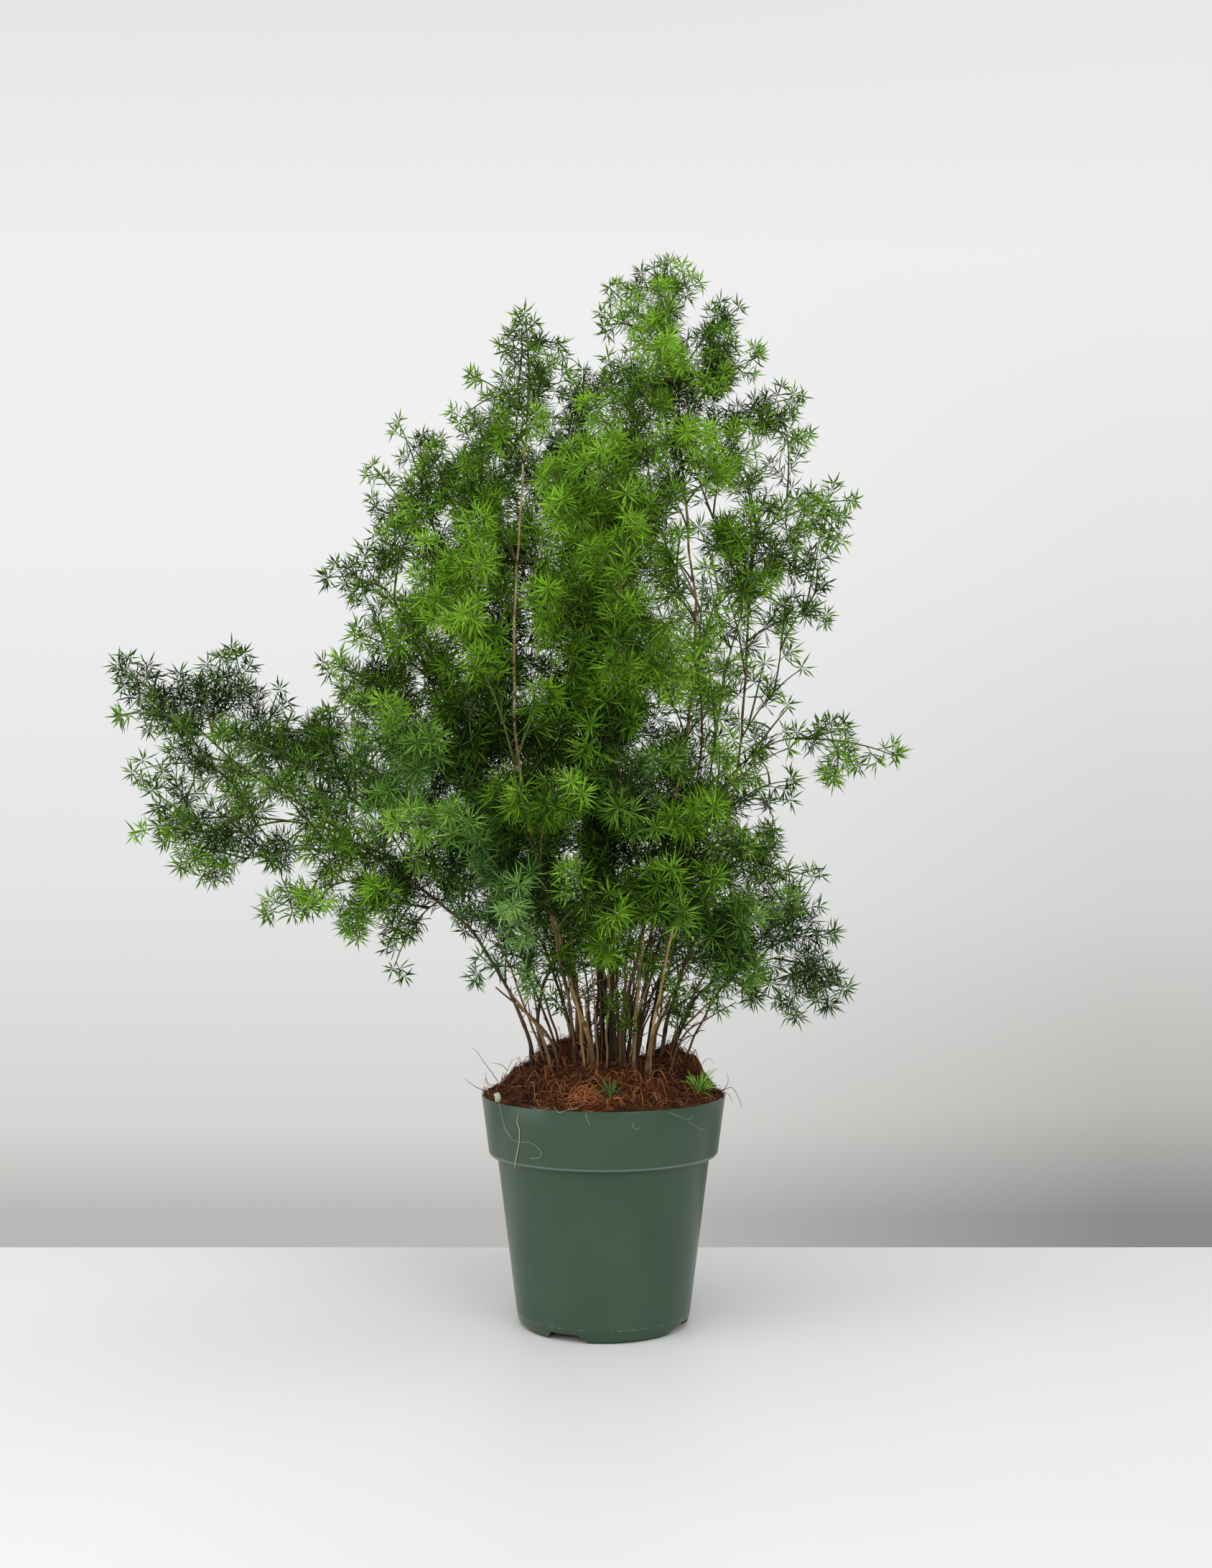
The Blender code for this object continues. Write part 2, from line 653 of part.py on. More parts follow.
def route_radii(route, foot, path):
    """Radii along part of a route, tapering from its foot to its end by height."""
    low, high = route[0].z, route[-1].z
    end = min(foot, STEM_TIP_RADIUS)
    return [end + (foot - end) * (1 - (p.z - low) / (high - low)) ** 0.8 for p in path]


def make_woody(name, collection, outline, material):
    foot, bare, places, _ = STEMS[name]
    route = in_metres(places)
    low, _ = split_route(route, bare * MM)
    stem = tube(f"stem_{name}", low, route_radii(route, foot * MM, low), collection, outline)
    stem.data.materials.append(material)
    return stem


def foot_cutter(name, collection, outline):
    """What the soil leaves free for a stem: its foot, a gap larger all round."""
    foot, _, places, _ = STEMS[name]
    route = in_metres(places)
    along = (route[1] - route[0]).normalized()
    points = [route[0] - along * GAP, route[1] + along * 4 * MM]
    radius = (foot * MM + GAP) / math.cos(math.pi / 6)
    return as_cutter(tube(f"hole_{name}", points, [radius, radius], collection, outline))


class Leafy:
    """The leafy part of one stem while it is put together."""

    def __init__(self, name, paths, room, collection, outlines):
        self.name, self.paths, self.room, self.collection = name, paths, room, collection
        self.outlines = outlines
        self.pieces, self.needles = [], 0

    def sprout(self, draw, obj, point, along, side, length, radius):
        """Adds a needle or twig where it stays clear of other nodes. Tries other leans first."""
        for turn in range(3):
            splay = draw.uniform(*SPLAY)
            root, tip = sprout(draw, obj, point, along, side + turn, length, splay)
            if self.room.air(self.name, [root, tip], radius) > CLEAR:
                self.room.add(self.name, [root, tip], radius)
                spiky = spike(f"{self.name}_{len(self.pieces)}", root, tip, radius, self.collection)
                self.pieces.append(spiky)
                self.needles += 1
                return spiky, root, tip
        return None

    def dress(self, label, path, obj):
        """Twigs and needles in turn along a branch, all round it, the last ones at its tip."""
        draw = random.Random(f"{self.name} {label}")
        length = sum((b - a).length for a, b in zip(path, path[1:]))
        count = 2 * max(1, round(length * (1 - BARE_SHARE) / TWIG_SPACING)) + 1
        side = draw.randrange(3)
        for k in range(count):
            share = BARE_SHARE + (0.94 - BARE_SHARE) * (k + draw.uniform(0.3, 0.7)) / count
            point, along = at_share(path, share)
            side += 1
            if k % 2:
                self.sprout(draw, obj, point, along, side, NEEDLE_LENGTH * draw.uniform(0.9, 1.1), NEEDLE_RADIUS)
            else:
                reach = TWIG_LENGTH * draw.uniform(0.8, 1.15) * (1.1 - 0.4 * share)
                self.sprout(draw, obj, point, along, side, reach, TWIG_RADIUS)

    def branch(self, label, path, along, bearer):
        """A branch as a tapered tube, rooted just inside the face of what bears it."""
        start, way = path[0], (path[1] - path[0]).normalized()
        is_main = label.endswith("_0")
        radii, depth = (MAIN_RADII, 0.8 * MM) if is_main else (SIDE_RADII, 0.45 * MM)
        faces = faces_round(bearer, start, along, 4 if is_main else 3)
        face = max(faces, key=lambda f: f.normal.dot(way))
        rooted = on_face(face, start) - face.normal * depth
        obj = tube(f"{self.name}_{label}", [rooted] + path[1:], radii, self.collection, self.outlines[3])
        self.pieces.append(obj)
        return obj


def make_leafy(name, paths, collection, outlines, room, material):
    """The leafy part of a stem: its upper axis, arched branches, twigs and needles as one body."""
    foot, bare, places, _ = STEMS[name]
    route = in_metres(places)
    _, high = split_route(route, bare * MM)
    leafy = Leafy(name, paths, room, collection, outlines)
    axis = tube(f"{name}_axis", high, route_radii(route, foot * MM, high), collection, outlines[4])
    leafy.pieces.append(axis)
    for label, path, along in paths:
        if label.endswith("_0"):
            main = obj = leafy.branch(label, path, along, axis)
        else:
            obj = leafy.branch(label, path, along, main)
        leafy.dress(label, path, obj)
    return fuse(f"leafy_{name}", leafy.pieces, collection, material), leafy.needles


def soil_height(soil, x, y):
    """Height of the modelled coir at x and y, in metres."""
    graph = bpy.context.evaluated_depsgraph_get()
    graph.update()
    hit, place, _, _ = soil.evaluated_get(graph).ray_cast(Vector((x, y, 1)), -UP)
    return place.z if hit else SOIL_EDGE_HEIGHT


def make_surface_roots(soil, collection, outline, material):
    """Forked roots that lie on the coir, a gap above it, as one body."""
    pieces = []
    for number, route in enumerate(SURFACE_ROOTS):
        points = []
        for (x0, y0), (x1, y1) in zip(route, route[1:]):
            for t in (0, 0.5):
                points.append(((x0 + (x1 - x0) * t) * MM, (y0 + (y1 - y0) * t) * MM))
        points.append((route[-1][0] * MM, route[-1][1] * MM))
        lift = GAP + SURFACE_ROOT_RADIUS * (1.2 if number == 0 else 1.1)
        path = [Vector((x, y, soil_height(soil, x, y) + lift)) for x, y in points]
        radii = [SURFACE_ROOT_RADIUS * (0.85 - 0.5 * k / len(path)) for k in range(len(path))]
        if number:
            radii[0] *= 0.6
        pieces.append(tube(f"root_{number}", path, radii, collection, outline))
    return fuse("surface_roots", pieces, collection, material)


def make_seedling(name, soil_z, collection, outlines, material):
    """A short stalk that stands in a hole in the coir, with a rosette of needles."""
    x, y, height, count, length = SEEDLINGS[name]
    foot = Vector((x * MM, y * MM, soil_z - SEEDLING_HOLE))
    top = Vector((x * MM, y * MM, soil_z + height * MM))
    stalk = tube(f"{name}_stalk", [foot, top, top + UP * 4 * MM],
                 [SEEDLING_RADIUS, SEEDLING_RADIUS, 0.3 * MM], collection, outlines[6])
    draw = random.Random(name)
    pieces = [stalk]
    for k in range(count):
        angle = k * math.tau * 0.382
        out = Vector((math.cos(angle), math.sin(angle), 0))
        root = foot.lerp(top, 0.78 + 0.2 * (k % 3) / 3) + out * 0.3 * MM
        way = (out + UP * draw.uniform(0.45, 1.3)).normalized()
        pieces.append(spike(f"{name}_{k}", root, root + way * length * MM, NEEDLE_RADIUS, collection))
    return fuse(name, pieces, collection, material)


def seedling_hole(name, soil_z, collection, outline):
    x, y, _, _, _ = SEEDLINGS[name]
    foot = Vector((x * MM, y * MM, soil_z - SEEDLING_HOLE - GAP))
    radius = (SEEDLING_RADIUS + GAP) / math.cos(math.pi / 6)
    return as_cutter(tube(f"hole_{name}", [foot, foot + UP * 20 * MM], [radius, radius], collection, outline))


def main():
    clear_scene()
    part = new_collection("potted_ming_fern")
    helpers = new_collection("helpers")
    outlines = {
        sides: as_cutter(object_of(f"section_{sides}", section(sides), helpers)) for sides in (3, 4, 6)
    }
    bark = principled("bark", BARK_BROWN, 0.8)
    fern = principled("fern_needles", FERN_GREEN, 0.55)
    make_pot(part, principled("pot_plastic", POT_GREEN, 0.45))
    room = Room()
    for name, (foot, _, places, _) in STEMS.items():
        route = in_metres(places)
        air = room.air(name, route, foot * MM)
        if air < CLEAR:
            print("stems close", name, round(air / MM, 2))
        room.add(name, route, foot * MM)
    paths = {name: lay_out(name, plan, room) for name, plan in STEMS.items()}
    holes = [foot_cutter(name, helpers, outlines[6]) for name in STEMS]
    seedlings = {
        name: SEEDLING_BASE + soil_rise(x * MM, y * MM) for name, (x, y, _, _, _) in SEEDLINGS.items()
    }
    holes += [seedling_hole(name, z, helpers, outlines[6]) for name, z in seedlings.items()]
    soil = make_soil(part, principled("coir", COIR_BROWN, 0.95), holes)
    make_surface_roots(soil, part, outlines[4], principled("root_skin", ROOT_ORANGE, 0.8))
    young = principled("seedling_leaf", YOUNG_GREEN, 0.5)
    for name, z in seedlings.items():
        make_seedling(name, z, part, outlines, young if name == "seedling_bright" else fern)
    total = 0
    for name in STEMS:
        make_woody(name, part, outlines[6], bark)
        _, needles = make_leafy(name, paths[name], part, outlines, room, fern)
        total += needles
    print("needles", total)


main()
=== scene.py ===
import json
import math
import random

import bmesh
import bpy
import numpy as np
from bpy.props import FloatProperty, FloatVectorProperty, IntProperty, PointerProperty
from mathutils import Matrix, Vector, noise

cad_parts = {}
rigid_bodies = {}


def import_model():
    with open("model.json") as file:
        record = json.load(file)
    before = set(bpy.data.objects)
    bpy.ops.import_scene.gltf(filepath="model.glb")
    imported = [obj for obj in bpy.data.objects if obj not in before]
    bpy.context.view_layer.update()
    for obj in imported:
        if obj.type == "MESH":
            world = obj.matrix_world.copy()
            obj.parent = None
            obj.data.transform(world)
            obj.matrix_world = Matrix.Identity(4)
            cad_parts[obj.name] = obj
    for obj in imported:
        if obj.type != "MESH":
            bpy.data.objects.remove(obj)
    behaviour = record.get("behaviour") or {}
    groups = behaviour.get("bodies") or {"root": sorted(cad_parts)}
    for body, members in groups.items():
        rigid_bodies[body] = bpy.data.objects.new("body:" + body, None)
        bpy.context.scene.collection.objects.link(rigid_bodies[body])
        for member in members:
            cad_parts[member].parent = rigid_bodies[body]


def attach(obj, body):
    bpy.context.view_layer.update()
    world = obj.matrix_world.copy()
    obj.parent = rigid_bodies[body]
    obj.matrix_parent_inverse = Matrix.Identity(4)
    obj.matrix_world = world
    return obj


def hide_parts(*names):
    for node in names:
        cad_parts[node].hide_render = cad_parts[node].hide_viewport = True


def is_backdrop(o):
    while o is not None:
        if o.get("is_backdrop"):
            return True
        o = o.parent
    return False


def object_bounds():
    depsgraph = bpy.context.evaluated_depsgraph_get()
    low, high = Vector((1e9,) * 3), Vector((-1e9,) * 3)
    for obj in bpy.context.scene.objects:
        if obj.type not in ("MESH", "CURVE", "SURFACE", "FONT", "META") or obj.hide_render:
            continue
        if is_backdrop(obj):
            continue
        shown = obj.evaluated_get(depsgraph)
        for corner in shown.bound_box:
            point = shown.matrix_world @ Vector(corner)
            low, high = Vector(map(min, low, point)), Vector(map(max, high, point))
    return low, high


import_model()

bl_info = {
    "name": "Potted ming fern",
    "version": (1, 0, 0),
    "blender": (4, 5, 0),
    "location": "3D View > Sidebar > Ming fern",
    "description": "A ming fern in a grower's pot: pot, coir, roots, stems, needles and a plain studio",
    "category": "Object",
}

CAD_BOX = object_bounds()
MM = 0.001
UP = Vector((0, 0, 1))

# The clump's layout. Each stem has its foot radius, the height where its leafy part starts, how pale
# its bark is, its route from the coir up, then its branches: the height where each leaves the stem
# and the tips that it reaches. Lengths are in millimetres. The x and z of a place are those seen
# against the plane through the pot's middle, and y is the depth that it really has.
VIEW_DISTANCE = 990
VIEW_HEIGHT = 283
STEMS = {
    "left_leaner": (
        2.5, 252, 0.35,
        [(-44, -5, 152), (-46, -5, 174), (-57, -4, 202), (-71, -2, 226), (-86, 0, 247),
         (-110, 2, 267), (-146, 0, 292), (-180, -5, 317), (-208, -9, 334), (-232, -11, 350)],
        [(350, [(-304, -6, 410), (-301, -40, 380), (-262, 26, 400)]),
         (324, [(-232, 44, 420), (-204, 34, 394), (-214, -22, 366)]),
         (340, [(-294, 30, 344), (-256, 48, 330)]),
         (306, [(-292, -48, 306), (-262, -66, 288), (-232, -54, 300)]),
         (292, [(-250, 34, 278), (-206, 46, 290)]),
         (276, [(-210, -44, 256), (-178, -62, 262), (-156, -40, 240)]),
         (262, [(-131, 22, 222), (-142, -58, 268)]),
         (314, [(-180, 58, 376), (-204, 70, 356)]),
         (270, [(-142, -76, 328), (-116, -88, 344)])],
    ),
    "left_low": (
        1.7, 212, 0.3,
        [(-28, 2, 158), (-34, 0, 184), (-44, -3, 208), (-53, -6, 232), (-64, -12, 256), (-74, -22, 278)],
        [(278, [(-96, -62, 306), (-66, -76, 296), (-104, -30, 284)]),
         (218, [(-78, -26, 219), (-50, -34, 212)]),
         (244, [(-88, 20, 252), (-48, -52, 242)])],
    ),
    "left_back": (
        2.1, 270, 0.4,
        [(-36, 8, 156), (-41, 7, 184), (-38, 9, 206), (-32, 13, 226), (-30, 22, 260), (-38, 38, 310),
         (-56, 54, 366), (-80, 64, 424), (-100, 66, 474), (-112, 60, 520)],
        [(520, [(-128, 52, 562), (-104, 40, 552)]),
         (474, [(-144, 34, 534), (-142, 56, 508)]),
         (440, [(-142, 84, 490), (-112, 104, 486)]),
         (424, [(-104, 112, 448), (-140, 96, 436)]),
         (400, [(-88, 14, 480), (-60, 24, 470)]),
         (366, [(-80, 104, 396), (-50, 116, 412)])],
    ),
    "left_middle": (
        1.9, 262, 0.15,
        [(-17, 16, 162), (-22, 18, 202), (-30, 22, 228), (-50, 24, 274), (-78, 16, 332), (-103, 0, 388),
         (-122, -14, 434), (-136, -22, 458)],
        [(458, [(-172, -28, 466), (-150, -52, 476), (-132, 10, 482)]),
         (400, [(-154, -50, 430), (-128, -66, 424)]),
         (352, [(-174, 26, 412), (-158, 44, 392)]),
         (320, [(-148, -36, 364), (-126, -54, 352)]),
         (430, [(-90, -62, 462), (-104, -76, 442)])],
    ),
    "pale_tall": (
        2.7, 300, 0.8,
        [(-6, -8, 156), (-10, -10, 178), (-19, -14, 205), (-28, -21, 240), (-40, -30, 282),
         (-49, -38, 324), (-55, -43, 370), (-56, -44, 412), (-55, -40, 460), (-51, -32, 520),
         (-48, -22, 566), (-47, -14, 600)],
        [(600, [(-49, -12, 630), (-64, -22, 612), (-28, 8, 612)]),
         (560, [(-82, -34, 592), (-90, -12, 564)]),
         (530, [(-62, -72, 552), (-84, -62, 538), (-42, -68, 566)]),
         (518, [(-22, -8, 528), (-24, 14, 508)]),
         (404, [(-78, -82, 428), (-94, -70, 408)]),
         (372, [(-98, -84, 384), (-82, -96, 360)]),
         (466, [(-30, -72, 474), (-12, -78, 460)]),
         (542, [(-76, 24, 562), (-58, 34, 578)])],
    ),
    "middle_back": (
        2.0, 300, 0.15,
        [(0, 12, 162), (-1, 16, 200), (-4, 28, 270), (-8, 44, 350), (-12, 54, 430), (-14, 50, 500),
         (-14, 42, 552)],
        [(552, [(-12, 40, 594), (2, 52, 584)]),
         (512, [(-22, 8, 562), (-4, 0, 546)]),
         (470, [(4, 18, 506), (-22, 10, 502)]),
         (420, [(-36, 90, 462), (12, 96, 470)]),
         (360, [(-40, 84, 410), (20, 92, 400)]),
         (490, [(-40, 78, 520), (12, 82, 530)])],
    ),
    "middle_front": (
        1.9, 262, 0.2,
        [(5, -9, 156), (5, -13, 200), (6, -24, 268), (8, -38, 346), (12, -47, 420), (16, -48, 480),
         (19, -44, 524)],
        [(524, [(20, -44, 562), (34, -58, 548), (8, -28, 548)]),
         (480, [(18, -82, 498), (-4, -76, 492), (32, -70, 508)]),
         (420, [(20, -92, 446), (0, -88, 442), (40, -84, 436)]),
         (346, [(18, -72, 384), (38, -66, 366)]),
         (300, [(-14, -62, 336), (-22, -50, 318)])],
    ),
    "right_tall": (
        2.5, 330, 0.62,
        [(11, 3, 160), (15, 3, 200), (28, 3, 255), (43, 3, 315), (54, 5, 380), (58, 8, 438),
         (54, 10, 480), (50, 12, 530), (44, 12, 576), (40, 10, 622)],
        [(622, [(38, 6, 662), (54, -12, 652), (22, 24, 648)]),
         (600, [(5, -10, 646), (2, 22, 624)]),
         (588, [(84, -8, 634), (70, 24, 630)]),
         (562, [(97, -14, 604), (74, -34, 590)]),
         (540, [(123, 18, 579), (124, -8, 550), (94, 38, 572)]),
         (514, [(82, -28, 536), (66, -42, 546)]),
         (572, [(4, -24, 600), (14, -40, 584)]),
         (590, [(46, -34, 606), (28, -40, 622)]),
         (440, [(42, -30, 462), (84, 52, 432)]),
         (550, [(48, 54, 590), (20, 50, 572)])],
    ),
    "right_bend": (
        2.4, 300, 0.4,
        [(35, 5, 154), (39, 5, 184), (47, 6, 212), (60, 10, 248), (76, 16, 304), (86, 24, 362),
         (90, 30, 420), (92, 28, 462), (98, 24, 498)],
        [(498, [(156, 8, 514), (148, -22, 490), (118, 26, 520)]),
         (470, [(92, -22, 506), (74, -34, 488)]),
         (430, [(139, 40, 442), (134, 62, 462), (112, 76, 448)]),
         (408, [(76, -30, 458), (104, -18, 472)]),
         (366, [(124, -8, 408), (100, 74, 412)]),
         (320, [(116, -14, 338), (98, -28, 352)]),
         (452, [(70, 76, 484), (92, 84, 500)])],
    ),
    "right_reach": (
        1.9, 262, 0.35,
        [(20, 13, 160), (26, 17, 200), (41, 25, 256), (62, 36, 312), (84, 40, 346), (107, 30, 362),
         (130, 14, 366)],
        [(366, [(182, -4, 354), (150, 24, 370), (146, -34, 342)]),
         (352, [(116, -36, 384), (86, -30, 374)]),
         (318, [(116, 58, 326), (108, 78, 306)])],
    ),
    "front_right": (
        1.6, 262, 0.1,
        [(14, -7, 158), (19, -10, 196), (27, -15, 232), (42, -24, 280), (58, -38, 336), (62, -52, 376),
         (60, -62, 398)],
        [(398, [(58, -92, 412), (38, -94, 400), (64, -78, 430)]),
         (336, [(34, -84, 350), (80, -74, 362)])],
    ),
    "tan_front": (
        2.6, 244, 0.85,
        [(26, -15, 152), (31, -19, 184), (37, -26, 210), (42, -34, 240), (49, -49, 274), (55, -64, 306)],
        [(306, [(70, -108, 322), (46, -112, 312)]),
         (250, [(68, -88, 276), (52, -80, 256)]),
         (280, [(86, -66, 302), (96, -44, 286)])],
    ),
    "front_middle": (
        2.2, 238, 0.7,
        [(19, -22, 150), (20, -25, 180), (22, -30, 214), (25, -40, 248), (18, -60, 306), (8, -76, 352)],
        [(352, [(2, -106, 386), (16, -104, 376), (-8, -110, 362)]),
         (244, [(30, -94, 260), (12, -92, 272)]),
         (306, [(10, -116, 320), (32, -110, 308)])],
    ),
    "front_left": (
        2.0, 236, 0.5,
        [(-17, -14, 156), (-21, -26, 194), (-30, -48, 240), (-39, -76, 284), (-38, -94, 312)],
        [(312, [(-14, -128, 330), (-36, -134, 322), (-52, -118, 322)]),
         (256, [(-76, -96, 284), (-56, -106, 262)]),
         (244, [(-8, -90, 262), (-22, -102, 280)])],
    ),
    "right_low": (
        2.0, 208, 0.2,
        [(42, 4, 152), (48, 4, 180), (60, 3, 204), (82, 0, 220), (108, -4, 227)],
        [(227, [(151, -24, 208), (140, 12, 198), (118, -30, 194)]),
         (224, [(134, 26, 278), (142, -18, 244), (114, 40, 262)]),
         (214, [(94, 30, 200), (70, -32, 204)])],
    ),
    "back_middle": (
        2.0, 250, 0.15,
        [(4, 25, 160), (1, 38, 210), (-7, 66, 290), (-15, 90, 368), (-19, 102, 436)],
        [(436, [(-20, 118, 490), (-52, 130, 456), (16, 130, 466)]),
         (368, [(-44, 146, 398), (4, 152, 390)]),
         (290, [(-34, 124, 310), (20, 126, 318)])],
    ),
    "back_right": (
        2.0, 246, 0.2,
        [(26, 24, 158), (34, 36, 206), (49, 64, 270), (66, 90, 338), (76, 102, 408)],
        [(408, [(90, 120, 452), (52, 130, 440)]),
         (338, [(112, 122, 368), (80, 146, 350)]),
         (270, [(74, 118, 276), (102, 88, 258)])],
    ),
    "back_left": (
        1.9, 246, 0.2,
        [(-17, 30, 160), (-27, 42, 206), (-52, 68, 268), (-82, 90, 336), (-98, 98, 398)],
        [(398, [(-122, 108, 434), (-88, 134, 440)]),
         (336, [(-134, 108, 358), (-100, 138, 346)]),
         (268, [(-96, 110, 276), (-60, 122, 290)])],
    ),
}
# Where the growth is young and yellow-green: seen x and z, spread, and how much. Below 0 it is dark.
YOUNG_PATCHES = (
    (-195, 266, 15, 0.28), (-165, 258, 15, 0.22), (-140, 268, 14, 0.16), (-118, 300, 14, 0.24),
    (-270, 298, 12, 0.34), (-284, 305, 10, 0.2), (-155, 405, 12, 0.4), (-150, 370, 12, 0.4),
    (-128, 340, 14, 0.15), (-85, 470, 15, 0.34), (-60, 500, 14, 0.2), (-58, 558, 14, 0.3),
    (-13, 590, 12, 0.26), (50, 650, 14, 0.16), (30, 640, 14, 0.2), (36, 618, 16, 0.24),
    (48, 596, 16, 0.3), (20, 565, 15, 0.24), (62, 558, 16, 0.2), (125, 582, 12, 0.38),
    (80, 530, 15, 0.3), (104, 508, 16, 0.36), (142, 495, 14, 0.3), (45, 415, 15, 0.4),
    (62, 396, 10, 0.3), (20, 452, 13, 0.3), (5, 388, 13, 0.3), (-20, 420, 12, 0.2),
    (138, 346, 13, 0.36), (160, 352, 14, 0.24), (70, 330, 13, 0.42), (-15, 333, 14, 0.36),
    (-38, 348, 10, 0.06), (75, 280, 12, 0.36), (30, 262, 12, 0.26), (60, 300, 10, 0.14),
    (-45, 410, 10, 0.2), (2, 548, 24, 0.2), (-46, 505, 22, 0.22), (4, 500, 24, 0.28),
    (-98, 452, 24, 0.34), (-100, 505, 20, 0.12), (-98, 296, 22, 0.16), (-150, 298, 20, 0.12),
    (-47, 248, 24, 0.24), (54, 236, 20, 0.12), (-46, 452, 20, 0.1), (-240, 370, 44, -0.1),
    (-60, 392, 24, -0.12), (104, 200, 24, -0.2), (-98, 350, 22, -0.16), (-52, 350, 18, -0.2),
    (60, 300, 26, -0.1), (100, 440, 26, -0.1), (-200, 300, 22, -0.12), (54, 601, 20, 0.12),
    (-98, 551, 20, 0.14), (-47, 550, 18, 0.1), (3, 500, 18, 0.08), (-98, 450, 18, 0.08),
    (-47, 248, 22, 0.12), (54, 248, 20, 0.12), (-148, 349, 22, 0.12), (-199, 349, 22, 0.1),
    (54, 500, 18, -0.2), (54, 450, 18, -0.12), (-148, 450, 22, -0.14), (-47, 601, 16, -0.14),
    (54, 349, 18, -0.12),
)
# Where it is old and bluish: seen x and z, spread, and how much.
BLUE_PATCHES = (
    (-145, 336, 20, 0.4), (-116, 346, 16, 0.3), (-75, 272, 24, 0.45), (-66, 240, 26, 0.45),
    (-72, 214, 20, 0.4), (125, 235, 38, 0.35), (-240, 370, 46, 0.15), (20, 340, 18, 0.4),
    (58, 232, 26, 0.2), (-90, 310, 18, 0.25),
)
# The crown's outline as seen, x and z, clockwise from its top.
CROWN = (
    (39, 671), (59, 659), (72, 639), (89, 637), (101, 607), (95, 588), (131, 582), (128, 543),
    (106, 533), (160, 518), (155, 484), (138, 477), (143, 427), (128, 405), (123, 383), (153, 371),
    (187, 354), (172, 341), (136, 334), (118, 322), (121, 307), (113, 292), (136, 287), (138, 253),
    (150, 221), (157, 206), (148, 186), (113, 186), (84, 186), (64, 184), (39, 182), (-5, 186),
    (-39, 190), (-68, 204), (-89, 243), (-111, 255), (-123, 230), (-133, 213), (-140, 230), (-162, 233),
    (-192, 245), (-221, 253), (-217, 270), (-261, 270), (-288, 290), (-300, 312), (-295, 331),
    (-303, 346), (-290, 363), (-310, 386), (-313, 420), (-286, 418), (-268, 400), (-246, 427),
    (-231, 430), (-217, 415), (-199, 393), (-182, 386), (-175, 400), (-182, 420), (-162, 425),
    (-180, 469), (-172, 479), (-148, 484), (-143, 504), (-133, 523), (-148, 538), (-128, 563),
    (-98, 555), (-89, 597), (-66, 602), (-64, 632), (-49, 637), (-25, 617), (-17, 600), (-2, 602),
    (0, 651), (22, 661),
)
# Where the crown is thin enough to see through: seen x and z, spread, and the share that grows.
THIN_PATCHES = (
    (98, 398, 36, 0.2), (130, 440, 20, 0.6), (-10, 636, 8, 0.1), (90, 436, 18, 0.2),
    (-206, 398, 12, 0.5), (62, 462, 14, 0.2), (-248, 348, 13, 0.15), (-243, 318, 12, 0.3),
    (-210, 315, 16, 0.1), (-174, 318, 15, 0.15), (-170, 282, 15, 0.25), (-136, 300, 12, 0.3),
    (98, 356, 20, 0.1), (60, 506, 14, 0.1), (60, 358, 12, 0.3), (-57, 584, 10, 0.5),
    (-134, 432, 10, 0.4), (-76, 380, 8, 0.4), (0, 200, 20, 0.6), (-57, 203, 12, 0.4),
    (60, 203, 13, 0.35), (95, 203, 12, 0.5), (98, 318, 14, 0.5), (128, 422, 10, 0.4),
    (95, 508, 10, 0.5), (22, 203, 12, 0.5), (95, 586, 10, 0.5), (-284, 318, 12, 0.5),
    (-284, 358, 12, 0.5), (-170, 440, 10, 0.5), (-134, 470, 12, 0.6), (-95, 432, 12, 0.5),
    (57, 507, 14, 0.7), (57, 431, 12, 0.7), (-133, 431, 18, 0.35), (94, 355, 14, 0.5),
    (-133, 469, 14, 0.8), (-209, 390, 14, 0.5), (57, 355, 14, 0.6), (94, 431, 14, 0.8),
    (132, 279, 14, 0.3), (132, 545, 12, 0.5), (57, 170, 14, 0.4), (57, 204, 12, 0.8),
    (-19, 204, 12, 0.7), (94, 507, 12, 0.8),
)
# The heights between which a stem stands clear of its own foliage, and those between which no
# foliage in front of it hides it.
BARE_SPANS = {"pale_tall": (350, 548), "right_tall": (376, 490), "right_reach": (262, 330)}
SHOWN_SPANS = {"pale_tall": (338, 545), "right_tall": (432, 488)}
# How far to each side of such a stem the view of it is kept free, and how far behind its middle.
SHOWN_STRIP, SHOWN_BEHIND = 9, 4
# Side shoots are tried between these seen x and z, and spring from wood above this height.
TRIED_X, TRIED_Z, LOWEST_SHOOT = (-310, 190), (190, 670), 172
# The least and greatest distance between a side shoot's tip and the wood that it springs from, and
# how far inside the crown's outline a tip stays.
SHORTEST_SHOOT, LONGEST_SHOOT, OUTERMOST_TIP = 26, 95, 11
# The radius of a stem's tip and of a branch's tip.
STEM_TIP, BRANCH_TIP = 0.9, 0.35
# Heaps and hollows of the coir: x, y, rise and spread.
SOIL_HEAPS = (
    (-19, 20, 11, 15), (52, 14, 13, 15), (-46, 0, 6, 13), (14, -46, -3, 16), (-50, -38, 2, 12),
    (30, 44, 4, 18), (-26, 8, 7, 7), (-40, 22, 6, 6), (58, 6, 4, 5), (44, 20, 5, 6), (-8, -2, -4, 7),
)
# The drain notches in the pot's foot. The first is the one that shows, left of the front.
NOTCHES = 4
NOTCH_FIRST = math.radians(-116)
NOTCH_INNER, NOTCH_LOW_WIDTH, NOTCH_TOP_WIDTH = 38, 30.2, 19
# The turn from one twig, leaf or needle to the next round what carries it: the golden angle.
TWIG_TURN, NEEDLE_TURN = 2.4, 2.39996
# What a tuft holds, in this order: its place, the way it faces, then single values.
PLACE, WAY = slice(0, 3), slice(3, 6)
SIZE, COUNT, YOUTH_AND_SHADE, BLUENESS, IS_LAST = range(6, 11)
